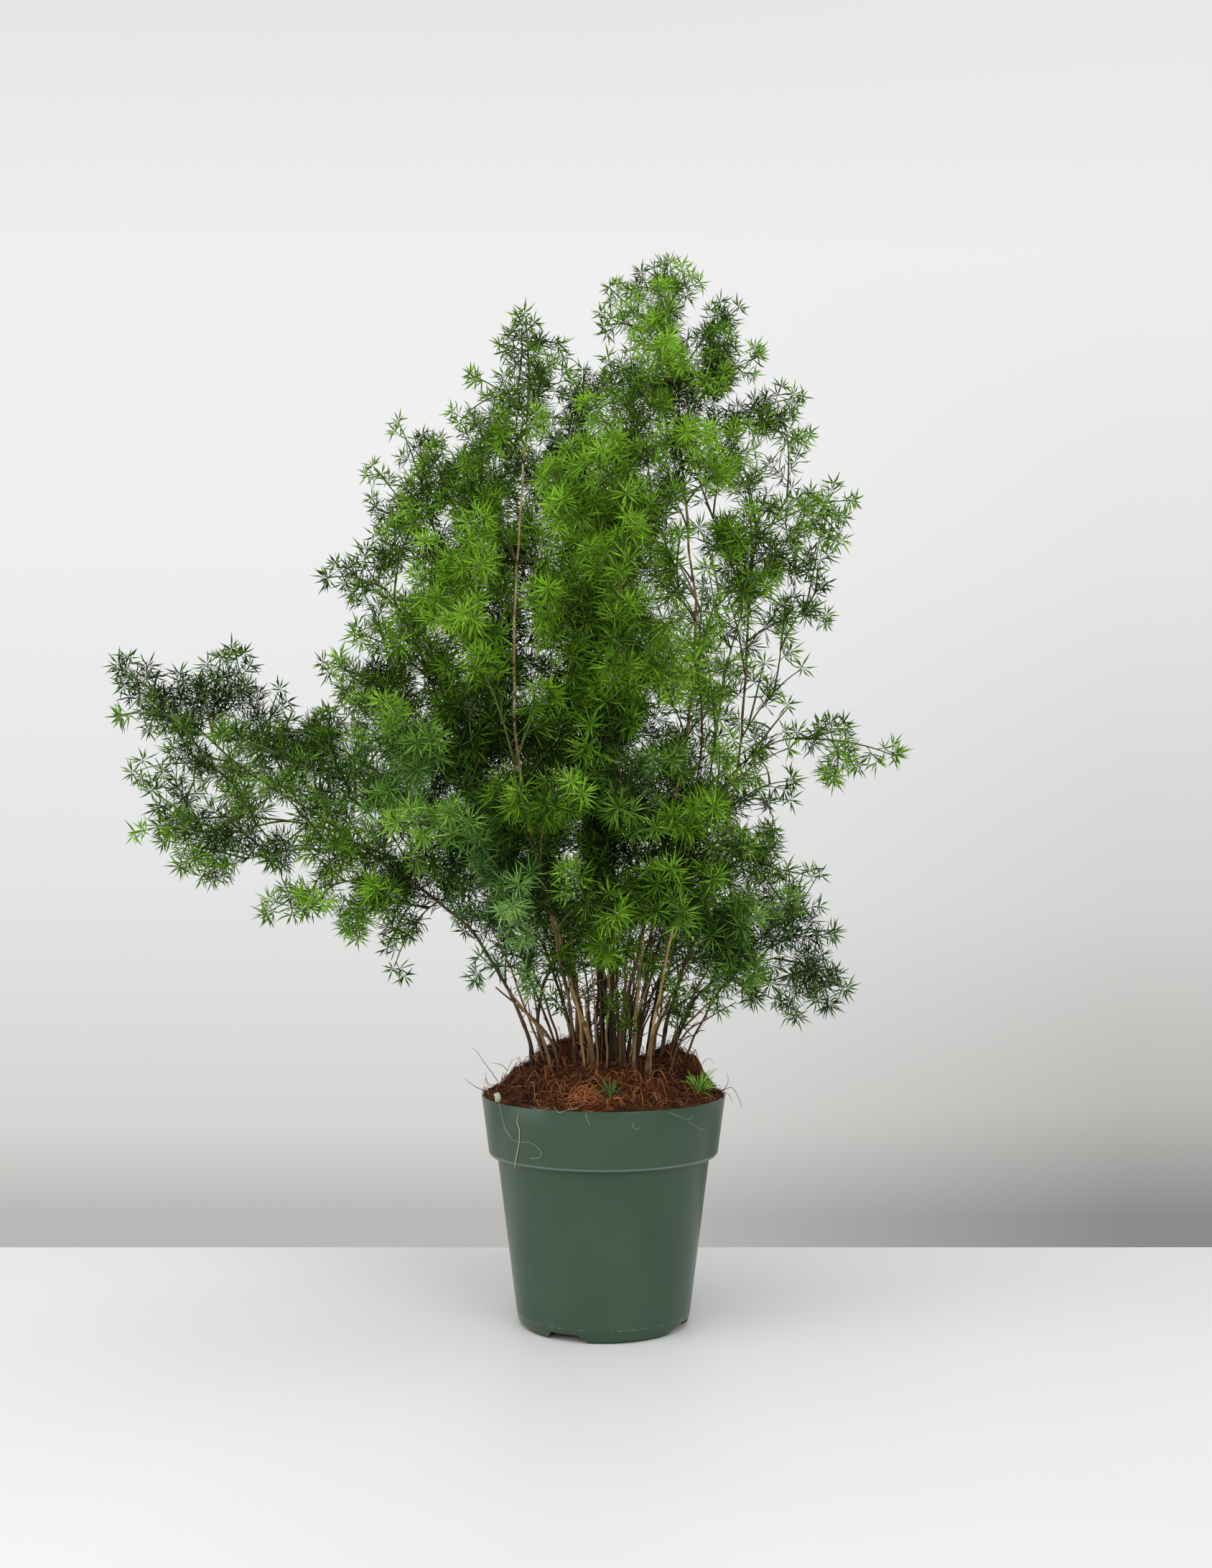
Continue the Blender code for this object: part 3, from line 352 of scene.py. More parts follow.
# The camera in the photo's own pixels: the photo's height, the focal length, and how far the photo's
# middle lies to the right of the line of sight and above it. The sensor is this high.
PHOTO_HEIGHT, FOCAL_LENGTH, MIDDLE_RIGHT, MIDDLE_UP = 2184, 2197, 3.5, 118
SENSOR = 36
# The dry straw that lies on the collar and the pale hairs round it: seen x and z.
STRAW = ((-53.6, 129.7), (-54.2, 123.8), (-52.7, 119), (-53, 110.5), (-54.2, 104.4), (-55.9, 95.3))
HAIRS = (
    ((-63, 121.5), (-59, 114.8), (-54.2, 111.5), (-47, 111.4), (-42.2, 108.7), (-38.7, 104.4),
     (-40.4, 101.5), (-45.8, 101.2)),
    ((-65.6, 137), (-64.4, 129.8), (-61.5, 120), (-58, 115)),
    ((-11.3, 129.8), (-10.4, 126), (-8.5, 121.4)),
    ((18.3, 123.4), (19, 120.3), (21.4, 119.3), (23.4, 119.5)),
    ((40.7, 130.1), (46.1, 128), (52.8, 125.6), (55.2, 126.9), (56.4, 128.8)),
    ((53.4, 124.4), (57.5, 121.4), (61.9, 119.3), (65, 119)),
    ((-31, 133.5), (-28, 130), (-22, 131.8), (-16, 132.6)),
    ((-46, 134.2), (-40, 131.5), (-34, 133.0)),
)
# The dark dry roots that stand out over the rim: seen x, depth and seen z.
STRAY_ROOTS = (
    ((-66, -12, 149), (-70, -12, 155), (-76, -13, 163), (-80, -13, 169), (-83, -12, 171)),
    ((-72, -10, 143), (-78, -10, 145), (-83, -9, 148), (-87, -9, 151)),
    ((-68, -20, 144), (-73, -22, 149), (-74, -23, 155)),
    ((-60, 0, 156), (-64, 2, 160), (-70, 3, 161)),
    ((74, -12, 143), (80, -14, 146), (84, -15, 141), (87, -16, 133)),
    ((74, -10, 143), (78, -10, 148), (78, -9, 154)),
    ((72, -22, 142), (78, -25, 142), (81, -26, 136)),
    ((60, 8, 156), (63, 9, 162), (67, 10, 164), (69, 10, 161)),
    ((46, -18, 164), (54, -20, 176), (62, -20, 184), (66, -19, 192)),
)
# How far from the pot's axis a fine root may start and reach, just inside the rim.
ROOT_START, ROOT_REACH = 73, 72.5
# The forked runners on the coir: x and y.
RUNNERS = (
    ((-4, -22), (-5, -34), (-8, -46), (-15, -57), (-18, -66)),
    ((-5, -34), (2, -43), (9, -54), (11, -64)),
    ((-8, -46), (-20, -50), (-33, -48), (-44, -52)),
    ((-8, -48), (-2, -56), (4, -66)),
    ((-9, -50), (-22, -58), (-36, -60)),
    ((20, -24), (24, -38), (30, -50), (38, -58)),
    ((24, -38), (18, -50), (20, -62)),
    ((30, -50), (42, -50), (50, -52)),
)


def linear(hex_colour):
    """An sRGB hex colour as the linear RGBA that a shader takes."""
    channels = [int(hex_colour[k:k + 2], 16) / 255 for k in (1, 3, 5)]
    return tuple(c / 12.92 if c <= 0.04045 else ((c + 0.055) / 1.055) ** 2.4 for c in channels) + (1.0,)


def length_property(name, description, millimetres):
    return FloatProperty(
        name=name, description=description, default=millimetres * MM, min=0, unit="LENGTH",
        subtype="DISTANCE", precision=5,
    )


def count_property(name, description, count):
    return IntProperty(name=name, description=description, default=count, min=0)


def colour_property(name, description, hex_colour):
    return FloatVectorProperty(
        name=name, description=description, default=linear(hex_colour), size=4, min=0, max=1,
        subtype="COLOR",
    )


class PotSettings(bpy.types.PropertyGroup):
    height: length_property("Height", "From the table to the rim", 142)
    rim_radius: length_property("Rim radius", "Outside radius at the rim", 76.2)
    collar_radius: length_property("Collar radius", "Outside radius at the collar's lower edge", 71.8)
    collar_base: length_property("Collar base", "Height of the step under the collar", 104.5)
    body_radius: length_property("Body radius", "Outside radius right under the collar", 66.3)
    foot_radius: length_property("Foot radius", "Outside radius where the body meets the foot", 54.4)
    flat_radius: length_property("Flat radius", "Radius of the ring that the pot stands on", 50.5)
    foot_height: length_property("Foot height", "Height of the parting line above the foot", 8.4)
    wall: length_property("Wall", "Thickness of the moulded wall", 1.5)
    floor: length_property("Floor", "Thickness of the floor", 1.8)
    notch_height: length_property("Notch height", "Height of the drain notches", 5.2)
    colour: colour_property("Plastic", "Colour of the moulded plastic", "#304836")


class CoirSettings(bpy.types.PropertyGroup):
    edge_height: length_property("Edge height", "Height of the coir at the pot's wall", 139.5)
    dome: length_property("Dome", "Rise from the edge to the middle", 21)
    fibres: count_property("Fibres", "Loose fibres on the mound", 3600)
    fibre_radius: length_property("Fibre radius", "Radius of a loose fibre", 0.2)
    dark: colour_property("Dark coir", "Colour in the hollows", "#1C100A")
    mid: colour_property("Mid coir", "Colour of most of the coir", "#4E2A15")
    light: colour_property("Light coir", "Colour of dry fibres", "#8C5430")


class StemSettings(bpy.types.PropertyGroup):
    dark: colour_property("Dark bark", "Colour of shaded and old bark", "#241B14")
    dead: count_property("Dry stems", "Thin dead stems between the living ones", 50)
    tan: colour_property("Tan bark", "Colour of dry tan bark", "#B39A6C")
    green: colour_property("Green twig", "Colour of young twigs", "#4E6A2C")


class NeedleSettings(bpy.types.PropertyGroup):
    length: length_property("Needle length", "Length of a full-grown needle", 13.4)
    width: length_property("Needle width", "Width of a needle where it is widest", 0.88)
    side_needles: count_property("Side needles", "Needles in a tuft along a twig", 10)
    tip_needles: count_property("Tip needles", "Needles in the tuft at a twig's tip", 15)
    tuft_gap: length_property("Tuft spacing", "Distance between tufts along a twig", 4.8)
    twig_gap: length_property("Twig spacing", "Distance between twigs along a branch", 5.6)
    fill_tries: count_property("Fill tries", "Places tried for side shoots", 9000)
    fill_gap: length_property("Fill gap", "Least distance from a side shoot's tip to other branches", 24)
    crown_depth: length_property("Crown depth", "How far the crown reaches to the front and back", 124)
    twig_reach: length_property("Twig reach", "Length of a twig near the root of its branch", 21)
    young: colour_property("Young needle", "Colour of new growth", "#8BBE34")
    grown: colour_property("Grown needle", "Colour of most needles", "#5C8614")
    old: colour_property("Old needle", "Colour of old bluish growth", "#4A7440")
    # The deep colour shows where the tone runs low, mostly where painted shade is laid on buried tufts.
    deep: colour_property("Deep needle", "Colour of dark inner growth", "#142203")


class StageSettings(bpy.types.PropertyGroup):
    table_back: length_property("Table back", "Distance from the pot's middle to the table's back edge", 190)
    table: colour_property("Table", "Colour of the white table", "#F4F4F2")


class FernSettings(bpy.types.PropertyGroup):
    pot: PointerProperty(type=PotSettings)
    coir: PointerProperty(type=CoirSettings)
    stems: PointerProperty(type=StemSettings)
    needles: PointerProperty(type=NeedleSettings)
    stage: PointerProperty(type=StageSettings)


# Materials

# The inputs and the output of a Mix node when it mixes colours.
MIX_FACTOR, MIX_FIRST, MIX_SECOND, MIXED = 0, 6, 7, 2
BLACK, WHITE = (0, 0, 0, 1), (1, 1, 1, 1)


def per_metre(millimetres):
    """The scale of a pattern whose spots are so many millimetres wide."""
    return 1 / (millimetres * MM)


def link(tree, target, links):
    """Links outputs, each given as a node and its output, into a node's inputs."""
    for key, (source, output) in links.items():
        tree.links.new(source.outputs[output], target.inputs[key])


def node(tree, kind, values=None, links=None, stops=(), **settings):
    """Adds a node with its settings, the values of its inputs, its links and a colour ramp's stops."""
    made = tree.nodes.new(kind)
    for key, value in settings.items():
        setattr(made, key, value)
    for key, value in (values or {}).items():
        made.inputs[key].default_value = value
    link(tree, made, links or {})
    if stops:
        elements = made.color_ramp.elements
        while len(elements) < len(stops):
            elements.new(0.5)
        for element, (place, colour) in zip(elements, stops):
            element.position = place
            element.color = colour
    return made


def new_material(name, values):
    """A material with its Principled shader, that shader's even values, and places on the piece."""
    material = bpy.data.materials.new(name)
    material.use_nodes = True
    tree = material.node_tree
    shader = tree.nodes["Principled BSDF"]
    for key, value in values.items():
        shader.inputs[key].default_value = value
    return material, tree, shader, (node(tree, "ShaderNodeTexCoord"), "Object")


def vary(tree, shader, place, colour, patch, variation):
    """Gives the shader a colour that is lighter and darker in patches of so many millimetres."""
    patches = node(tree, "ShaderNodeTexNoise", {"Scale": per_metre(patch), "Detail": 3.0}, {"Vector": place})
    light = node(
        tree, "ShaderNodeMapRange", {"To Min": 1 - variation, "To Max": 1 + variation},
        {"Value": (patches, "Fac")},
    )
    varied = node(tree, "ShaderNodeHueSaturation", links={"Color": colour, "Value": (light, "Result")})
    link(tree, shader, {"Base Color": (varied, "Color")})


def moulded_polypropylene(pot):
    """Injection-moulded polypropylene: satin dark green with faint flow mottling, a few specks of dirt,
    a painted highlight along the collar's foot and broken painted glints along the parting line."""
    material, tree, shader, place = new_material("moulded_polypropylene", {"IOR": 1.46})
    mottle = node(tree, "ShaderNodeTexNoise", {"Scale": per_metre(38.5), "Detail": 5.0}, {"Vector": place})
    dull, pale = (tuple(min(1.0, c * share) for c in pot.colour[:3]) + (1.0,) for share in (0.9, 1.1))
    body = node(tree, "ShaderNodeValToRGB", links={"Fac": (mottle, "Fac")}, stops=[(0.3, dull), (0.7, pale)])
    specks = node(
        tree, "ShaderNodeTexVoronoi", {"Scale": per_metre(16.7), "Randomness": 1.0}, {"Vector": place},
    )
    dots = node(
        tree, "ShaderNodeValToRGB", links={"Fac": (specks, "Distance")},
        stops=[(0.03, WHITE), (0.045, BLACK)],
    )
    covered = node(
        tree, "ShaderNodeMix", {MIX_SECOND: linear("#1C241E")},
        {MIX_FACTOR: (dots, "Color"), MIX_FIRST: (body, "Color")}, data_type="RGBA",
    )
    parts = node(tree, "ShaderNodeSeparateXYZ", links={"Vector": place})
    broken = node(tree, "ShaderNodeTexNoise", {"Scale": per_metre(4.17), "Detail": 2.0}, {"Vector": place})
    # Each pale line is a painted highlight: its height, how far it reaches up and down, how strong it
    # is, and how much of it is missing.
    for height, reach, amount, missing in (
        (pot.collar_base + 2.5 * MM, 0.75 * MM, 0.42, 0.0), (pot.foot_height, 0.32 * MM, 0.9, 0.52),
    ):
        off = node(tree, "ShaderNodeMath", {1: height}, {0: (parts, "Z")}, operation="SUBTRACT")
        near = node(tree, "ShaderNodeMath", links={0: (off, 0)}, operation="ABSOLUTE")
        line = node(
            tree, "ShaderNodeMapRange",
            {"From Min": 0.0, "From Max": reach, "To Min": amount, "To Max": 0.0}, {"Value": (near, 0)},
        )
        left = node(
            tree, "ShaderNodeMapRange", {"From Min": missing, "From Max": missing + 0.12},
            {"Value": (broken, "Fac")},
        )
        both = node(
            tree, "ShaderNodeMath", links={0: (line, "Result"), 1: (left, "Result")}, operation="MULTIPLY",
        )
        # The painted highlight's pale colour, mixed over the plastic.
        covered = node(
            tree, "ShaderNodeMix", {MIX_SECOND: linear("#93A394")},
            {MIX_FACTOR: (both, 0), MIX_FIRST: (covered, MIXED)}, data_type="RGBA",
        )
    satin = node(tree, "ShaderNodeMapRange", {"To Min": 0.24, "To Max": 0.34}, {"Value": (mottle, "Fac")})
    # The mould's real grain is finer and would not show, so it is drawn as coarse as this.
    grain = node(tree, "ShaderNodeTexNoise", {"Scale": per_metre(1.11), "Detail": 2.0}, {"Vector": place})
    relief = node(
        tree, "ShaderNodeBump", {"Distance": 0.05 * MM, "Strength": 0.3}, {"Height": (grain, "Fac")},
    )
    link(tree, shader, {
        "Base Color": (covered, MIXED), "Roughness": (satin, "Result"), "Normal": (relief, "Normal"),
    })
    return material


def coconut_coir(coir):
    """Loose coconut fibre: rough, red-brown, dark where it is damp and lighter on the dry tufts."""
    material, tree, shader, place = new_material(
        "loose_coconut_coir", {"Roughness": 0.95, "Specular IOR Level": 0.15},
    )
    clumps = node(
        tree, "ShaderNodeTexNoise", {"Scale": per_metre(9.1), "Detail": 8.0, "Roughness": 0.7},
        {"Vector": place},
    )
    colours = node(
        tree, "ShaderNodeValToRGB", links={"Fac": (clumps, "Fac")},
        stops=[(0.32, coir.dark), (0.52, coir.mid), (0.72, coir.light)],
    )
    heaps = node(tree, "ShaderNodeTexNoise", {"Scale": per_metre(26.3), "Detail": 3.0}, {"Vector": place})
    damp = node(
        tree, "ShaderNodeValToRGB", links={"Fac": (heaps, "Fac")},
        stops=[(0.47, BLACK), (0.62, (0.75, 0.75, 0.75, 1))],
    )
    shaded = node(
        tree, "ShaderNodeMix", {MIX_SECOND: coir.dark},
        {MIX_FACTOR: (damp, "Color"), MIX_FIRST: (colours, "Color")}, data_type="RGBA",
    )
    # A fibre is 0.2 mm wide, which would not show, so the relief is drawn several times as coarse.
    fine = node(
        tree, "ShaderNodeTexNoise", {"Scale": per_metre(1.43), "Detail": 6.0, "Distortion": 1.5},
        {"Vector": place},
    )
    relief = node(tree, "ShaderNodeBump", {"Distance": 1.2 * MM, "Strength": 0.9}, {"Height": (fine, "Fac")})
    link(tree, shader, {"Base Color": (shaded, MIXED), "Normal": (relief, "Normal")})
    return material


def strand_material(name, stops, variation, roughness, specular):
    """A material whose colour runs through stops by the tone that each strand carries."""
    material, tree, shader, place = new_material(
        name, {"Roughness": roughness, "Specular IOR Level": specular},
    )
    tone = node(tree, "ShaderNodeAttribute", attribute_name="tone")
    colours = node(tree, "ShaderNodeValToRGB", links={"Fac": (tone, "Fac")}, stops=stops)
    vary(tree, shader, place, (colours, "Color"), 3.85, variation)
    return material


def dry_bark(stems):
    """Thin dry bark: dull brown with tan streaks along the stem, scaly where leaves have dropped."""
    material = strand_material(
        "dry_bark",
        [(0.0, stems.dark), (0.35, linear("#574432")), (0.62, linear("#8A6B46")), (0.85, stems.tan),
         (1.0, linear("#D2BF92"))],
        0.35, 0.85, 0.25,
    )
    tree = material.node_tree
    place = node(tree, "ShaderNodeTexCoord")
    # The bark's scales are about 1.1 mm wide and 5 mm long.
    stretched = node(tree, "ShaderNodeMapping", {"Scale": (1.0, 1.0, 0.22)}, {"Vector": (place, "Object")})
    scales = node(
        tree, "ShaderNodeTexNoise", {"Scale": per_metre(1.11), "Detail": 4.0},
        {"Vector": (stretched, "Vector")},
    )
    relief = node(
        tree, "ShaderNodeBump", {"Distance": 0.5 * MM, "Strength": 0.8}, {"Height": (scales, "Fac")},
    )
    link(tree, tree.nodes["Principled BSDF"], {"Normal": (relief, "Normal")})
    return material


def waxy_green_twig(stems):
    """Young green twigs, with a thin waxy skin that has a soft shine."""
    stops = [(0.0, linear("#5A4A2C")), (0.5, stems.green), (1.0, linear("#6F9434"))]
    return strand_material("waxy_green_twig", stops, 0.2, 0.6, 0.35)


def curled_coir_fibre(coir):
    """Single coconut fibres: dry and dull, from dark brown to the orange-tan of a clean one."""
    stops = [(0.0, coir.dark), (0.4, coir.mid), (0.75, coir.light), (1.0, linear("#BC8353"))]
    return strand_material("curled_coir_fibre", stops, 0.25, 0.8, 0.25)


def orange_root_skin():
    """Smooth root skin, dried in the air: dull orange-brown, paler on thin roots."""
    stops = [(0.0, linear("#5E2F18")), (0.5, linear("#9C5A30")), (1.0, linear("#C98352"))]
    return strand_material("orange_root_skin", stops, 0.25, 0.7, 0.3)


def tender_seedling_leaf():
    """Thin soft leaves full of sap: clear green with a light shine."""
    stops = [(0.0, linear("#24401C")), (0.4, linear("#3E6B28")), (1.0, linear("#86BE3C"))]
    return strand_material("tender_seedling_leaf", stops, 0.15, 0.45, 0.4)


def dry_pale_stalk():
    """A dead stalk, bleached by the sun: dull, pale grey-green."""
    stops = [(0.0, linear("#8F9A78")), (1.0, linear("#CDD2BC"))]
    return strand_material("dry_pale_stalk", stops, 0.2, 0.7, 0.3)


def dry_straw():
    """A dry grass stem: straw-coloured, with the faint shine of its hard skin."""
    stops = [(0.0, linear("#8A7850")), (1.0, linear("#CFBF98"))]
    return strand_material("dry_straw", stops, 0.2, 0.6, 0.35)


def pale_root_hair():
    """Dried root hairs stuck to the pot: dull and pale against its green."""
    stops = [(0.0, linear("#8FA08A")), (1.0, linear("#C9D2BE"))]
    return strand_material("pale_root_hair", stops, 0.1, 0.6, 0.3)


def dark_dry_root():
    """Old roots dried hard: dull, dark brown, almost black against the backdrop."""
    stops = [(0.0, linear("#241A12")), (1.0, linear("#6A4A30"))]
    return strand_material("dark_dry_root", stops, 0.2, 0.8, 0.2)


def living_fern_needle(needles):
    """Living needles: yellow-green where they are new, bluish where they are old, dark where their tone
    carries painted shade, and nearly matt.
    """
    material, tree, shader, place = new_material(
        "living_fern_needle", {"Roughness": 0.5, "Specular IOR Level": 0.06},
    )
    tone, blueness = (node(tree, "ShaderNodeAttribute", attribute_name=key) for key in ("tone", "blueness"))
    greens = node(
        tree, "ShaderNodeValToRGB", links={"Fac": (tone, "Fac")},
        stops=[(0.0, needles.deep), (0.28, linear("#38560C")), (0.56, needles.grown), (1.0, needles.young)],
    )
    blues = node(
        tree, "ShaderNodeValToRGB", links={"Fac": (tone, "Fac")},
        stops=[(0.0, linear("#1F3814")), (0.4, needles.old), (1.0, linear("#82A66E"))],
    )
    mixed = node(
        tree, "ShaderNodeMix", data_type="RGBA",
        links={MIX_FACTOR: (blueness, "Fac"), MIX_FIRST: (greens, "Color"), MIX_SECOND: (blues, "Color")},
    )
    vary(tree, shader, place, (mixed, MIXED), 5.56, 0.2)
    return material


def painted_white_board(stage):
    """A board with even white paint: satin, with a hardly visible cloudiness."""
    material, tree, shader, place = new_material(
        "painted_white_board", {"Roughness": 0.55, "Specular IOR Level": 0.3},
    )
    cloud = node(tree, "ShaderNodeTexNoise", {"Scale": per_metre(333)}, {"Vector": place})
    colours = node(
        tree, "ShaderNodeValToRGB", links={"Fac": (cloud, "Fac")},
        stops=[(0.3, linear("#EFEFED")), (0.7, stage.table)],
    )
    link(tree, shader, {"Base Color": (colours, "Color")})
    return material


def paper_backdrop():
    """Matt studio paper, far off: a glowing sheet of painted light that turns lighter towards its top and
    left.
    """
    material = bpy.data.materials.new("paper_backdrop")
    material.use_nodes = True
    tree = material.node_tree
    tree.nodes.remove(tree.nodes["Principled BSDF"])
    place = node(tree, "ShaderNodeTexCoord")
    parts = node(tree, "ShaderNodeSeparateXYZ", links={"Vector": (place, "Object")})
    rise = node(tree, "ShaderNodeMapRange", {"From Min": -0.35, "From Max": 1.7}, {"Value": (parts, "Z")})
    left, right = (
        node(tree, "ShaderNodeValToRGB", links={"Fac": (rise, "Result")}, stops=stops) for stops in (
            [(0.03, linear("#B9B8B6")), (0.1, linear("#D5D4D2")), (0.3, linear("#E5E5E5")),
             (0.6, linear("#F0F0F0")), (0.8, linear("#EFEFEF")), (1.0, linear("#E6E6E8"))],
            [(0.03, linear("#8C8B8A")), (0.12, linear("#B9B9B6")), (0.28, linear("#D3D3D1")),
             (0.55, linear("#E5E5E5")), (0.8, linear("#EEEEEE")), (1.0, linear("#E8E8EA"))],
        )
    )
    across = node(tree, "ShaderNodeMapRange", {"From Min": 0.02, "From Max": 0.86}, {"Value": (parts, "X")})
    both = node(
        tree, "ShaderNodeMix", data_type="RGBA",
        links={MIX_FACTOR: (across, "Result"), MIX_FIRST: (left, "Color"), MIX_SECOND: (right, "Color")},
    )
    glow = node(tree, "ShaderNodeEmission", links={"Color": (both, MIXED)})
    link(tree, tree.nodes["Material Output"], {"Surface": (glow, "Emission")})
    return material


# Shapes


def clamped(value, low=0.0, high=1.0):
    return max(low, min(high, value))


def falloff(across, up, spread):
    """1 in the middle of a patch, less the further off."""
    return math.exp(-(across ** 2 + up ** 2) / (2 * spread ** 2))


def turned(way, axis, angle):
    """A direction turned round an axis."""
    found = way.copy()
    found.rotate(Matrix.Rotation(angle, 3, axis))
    return found


def square_to(along, angle):
    """A direction square to another, turned round it by an angle."""
    return turned(along.orthogonal().normalized(), along, angle)


def unit(rows):
    """Rows of vectors, each made 1 long."""
    return rows / (np.linalg.norm(rows, axis=1)[:, None] + 1e-12)


def mesh_of(work, name):
    """The mesh of a shape that is finished in bmesh."""
    mesh = bpy.data.meshes.new(name)
    work.to_mesh(mesh)
    work.free()
    return mesh


class Strands:
    """Gathers tapered tubes and needles into one mesh; every point carries a tone and a blueness."""

    def __init__(self):
        self.verts, self.faces, self.tones, self.blues, self.count = [], [], [], [], 0

    def add(self, verts, faces, tones, blues):
        self.verts.append(verts)
        self.faces.append(faces + self.count)
        self.tones.append(tones)
        self.blues.append(blues)
        self.count += len(verts)

    def tube(self, path, radii, sides, tones):
        """A closed tube along path; radii and tones run evenly from its start to its end."""
        path = np.asarray(path, float)
        rows = len(path)
        radii, tones = spread_over(radii, rows), spread_over(tones, rows)
        along = unit(np.gradient(path, axis=0))
        guide = np.array([0.31, 0.17, 0.93]) if abs(along[0][2]) < 0.8 else np.array([0.93, 0.31, 0.17])
        side = unit(np.cross(along, guide))
        other = np.cross(along, side)
        turn = np.arange(sides) * math.tau / sides
        ring = np.cos(turn)[None, :, None] * side[:, None] + np.sin(turn)[None, :, None] * other[:, None]
        walls = (path[:, None] + ring * radii[:, None, None]).reshape(-1, 3)
        verts = np.vstack([walls, path[:1], path[-1:]])
        values = np.concatenate([np.repeat(tones, sides), tones[:1], tones[-1:]])
        a = np.arange(sides)
        b = (a + 1) % sides
        low = np.arange(rows - 1)[:, None] * sides
        quads = np.stack([low + a, low + b, low + b + sides, low + a + sides], -1).reshape(-1, 4)
        first, last, top = np.full(sides, rows * sides), np.full(sides, rows * sides + 1), (rows - 1) * sides
        faces = np.concatenate([
            quads[:, [0, 1, 2]], quads[:, [0, 2, 3]],
            np.stack([first, b, a], 1), np.stack([last, top + a, top + b], 1),
        ])
        self.add(verts, faces, values, np.zeros(len(verts)))

    def many(self, verts, pattern, shading, tones, blues):
        """Many small solids at once. Each has a row of points, the same faces, and its own tone with
        the same painted shading from point to point, darker at the root."""
        count, points = verts.shape[:2]
        faces = (np.arange(count)[:, None, None] * points + np.array(pattern)).reshape(-1, 3)
        shades = (tones[:, None] + np.array(shading)).clip(0, 1).ravel()
        self.add(verts.reshape(-1, 3), faces, shades, np.repeat(blues, points))

    def blades(self, roots, ways, outs, lengths, widths, tones, blues):
        """Closed needles of four faces, bowed and nearly even in width: the widest point of one edge is
        near the root, that of the other near the tip. Their roots get painted shade."""
        side = unit(np.cross(ways, outs))
        bow = np.cross(side, ways) * (widths * 0.3 + lengths * 0.03)[:, None]
        verts = np.stack([
            roots,
            roots + ways * lengths[:, None] * 0.24 - side * widths[:, None] / 2 + bow,
            roots + ways * lengths[:, None] * 0.74 + side * widths[:, None] / 2 + bow,
            roots + ways * lengths[:, None],
        ], 1)
        pattern = [[0, 2, 1], [1, 2, 3], [0, 1, 3], [0, 3, 2]]
        self.many(verts, pattern, [-0.2, -0.02, 0.0, 0.04], tones, blues)

    def spindles(self, roots, ways, outs, lengths, widths, bows, tones, blues):
        """Closed needles of six faces that bend in one direction: a root, a ring of three and a tip."""
        side = unit(np.cross(ways, outs))
        keel = np.cross(side, ways)
        middle = roots + ways * lengths[:, None] * 0.48 + keel * bows[:, None]
        ring = [
            middle + (side * math.cos(angle) + keel * math.sin(angle)) * widths[:, None] * 0.55
            for angle in (0, math.tau / 3, 2 * math.tau / 3)
        ]
        verts = np.stack([roots, *ring, roots + ways * lengths[:, None]], 1)
        pattern = [[0, 1, 2], [0, 2, 3], [0, 3, 1], [4, 2, 1], [4, 3, 2], [4, 1, 3]]
        # Painted shade: the root gets a lower tone than the rest of the needle.
        self.many(verts, pattern, [-0.18, 0.0, 0.0, 0.0, 0.04], tones, blues)

    def build(self, name, material, slot, replaced=(), smooth=True):
        """Makes one piece of all the strands."""
        mesh = bpy.data.meshes.new(name)
        mesh.from_pydata(np.vstack(self.verts), [], np.vstack(self.faces))
        for key, values in (("tone", self.tones), ("blueness", self.blues)):
            mesh.attributes.new(key, "FLOAT", "POINT").data.foreach_set("value", np.concatenate(values))
        if smooth:
            mesh.shade_smooth()
        dressed(name, mesh, material, slot, replaced)


def spread_over(values, count):
    """A value, or a few values, spread evenly over a number of points."""
    values = np.atleast_1d(np.asarray(values, float))
    return np.interp(np.linspace(0, 1, count), np.linspace(0, 1, len(values)), values)


def dressed(name, mesh, material, slot, replaced=()):
    """Puts a finished mesh in the scene as a piece that rides on the fern and stands for its nodes."""
    piece = bpy.data.objects.new(name, mesh)
    bpy.context.scene.collection.objects.link(piece)
    mesh.materials.append(material)
    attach(piece, "root")
    if replaced:
        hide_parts(*replaced)
    return piece


def at_depth(x, y, z):
    """A seen place moved along the line of sight to its real depth y."""
    scale = (VIEW_DISTANCE + y) / VIEW_DISTANCE
    return x * scale, y, VIEW_HEIGHT + (z - VIEW_HEIGHT) * scale


def in_metres(places):
    """Seen places at their real depth, in metres."""
    return [Vector(at_depth(*place)) * MM for place in places]


def at_share(path, share):
    """The point and direction at a share of a path's length."""
    spans = [(b - a).length for a, b in zip(path, path[1:])]
    left = share * sum(spans)
    for k, span in enumerate(spans):
        if left <= span or k == len(spans) - 1:
            along = (path[k + 1] - path[k]).normalized()
            return path[k] + along * min(left, span), along
        left -= span


def at_height(path, height):
    """The point and direction where a rising path passes a height."""
    for a, b in zip(path, path[1:]):
        if b.z >= height:
            share = max(0.0, (height - a.z) / (b.z - a.z))
            return a.lerp(b, share), (b - a).normalized()
    return path[-1].copy(), (path[-1] - path[-2]).normalized()


def arched(start, tip, along):
    """A branch that starts a little along its parent and arches over to its tip, in seven steps."""
    span = (tip - start).length
    middle = start.lerp(tip, 0.45) + along * span * 0.12 + UP * span * 0.08
    return [
        start * (1 - t) ** 2 + middle * 2 * t * (1 - t) + tip * t * t for t in (k / 7 for k in range(8))
    ]


def fork_share(start, main_tip, tip):
    """How far along its main branch a side branch leaves, so that it points forward."""
    main = main_tip - start
    nearest = (tip - start).dot(main) / main.length_squared
    return clamped(nearest - 0.3, 0.15, 0.72)


def path_length(path):
    return sum((b - a).length for a, b in zip(path, path[1:]))


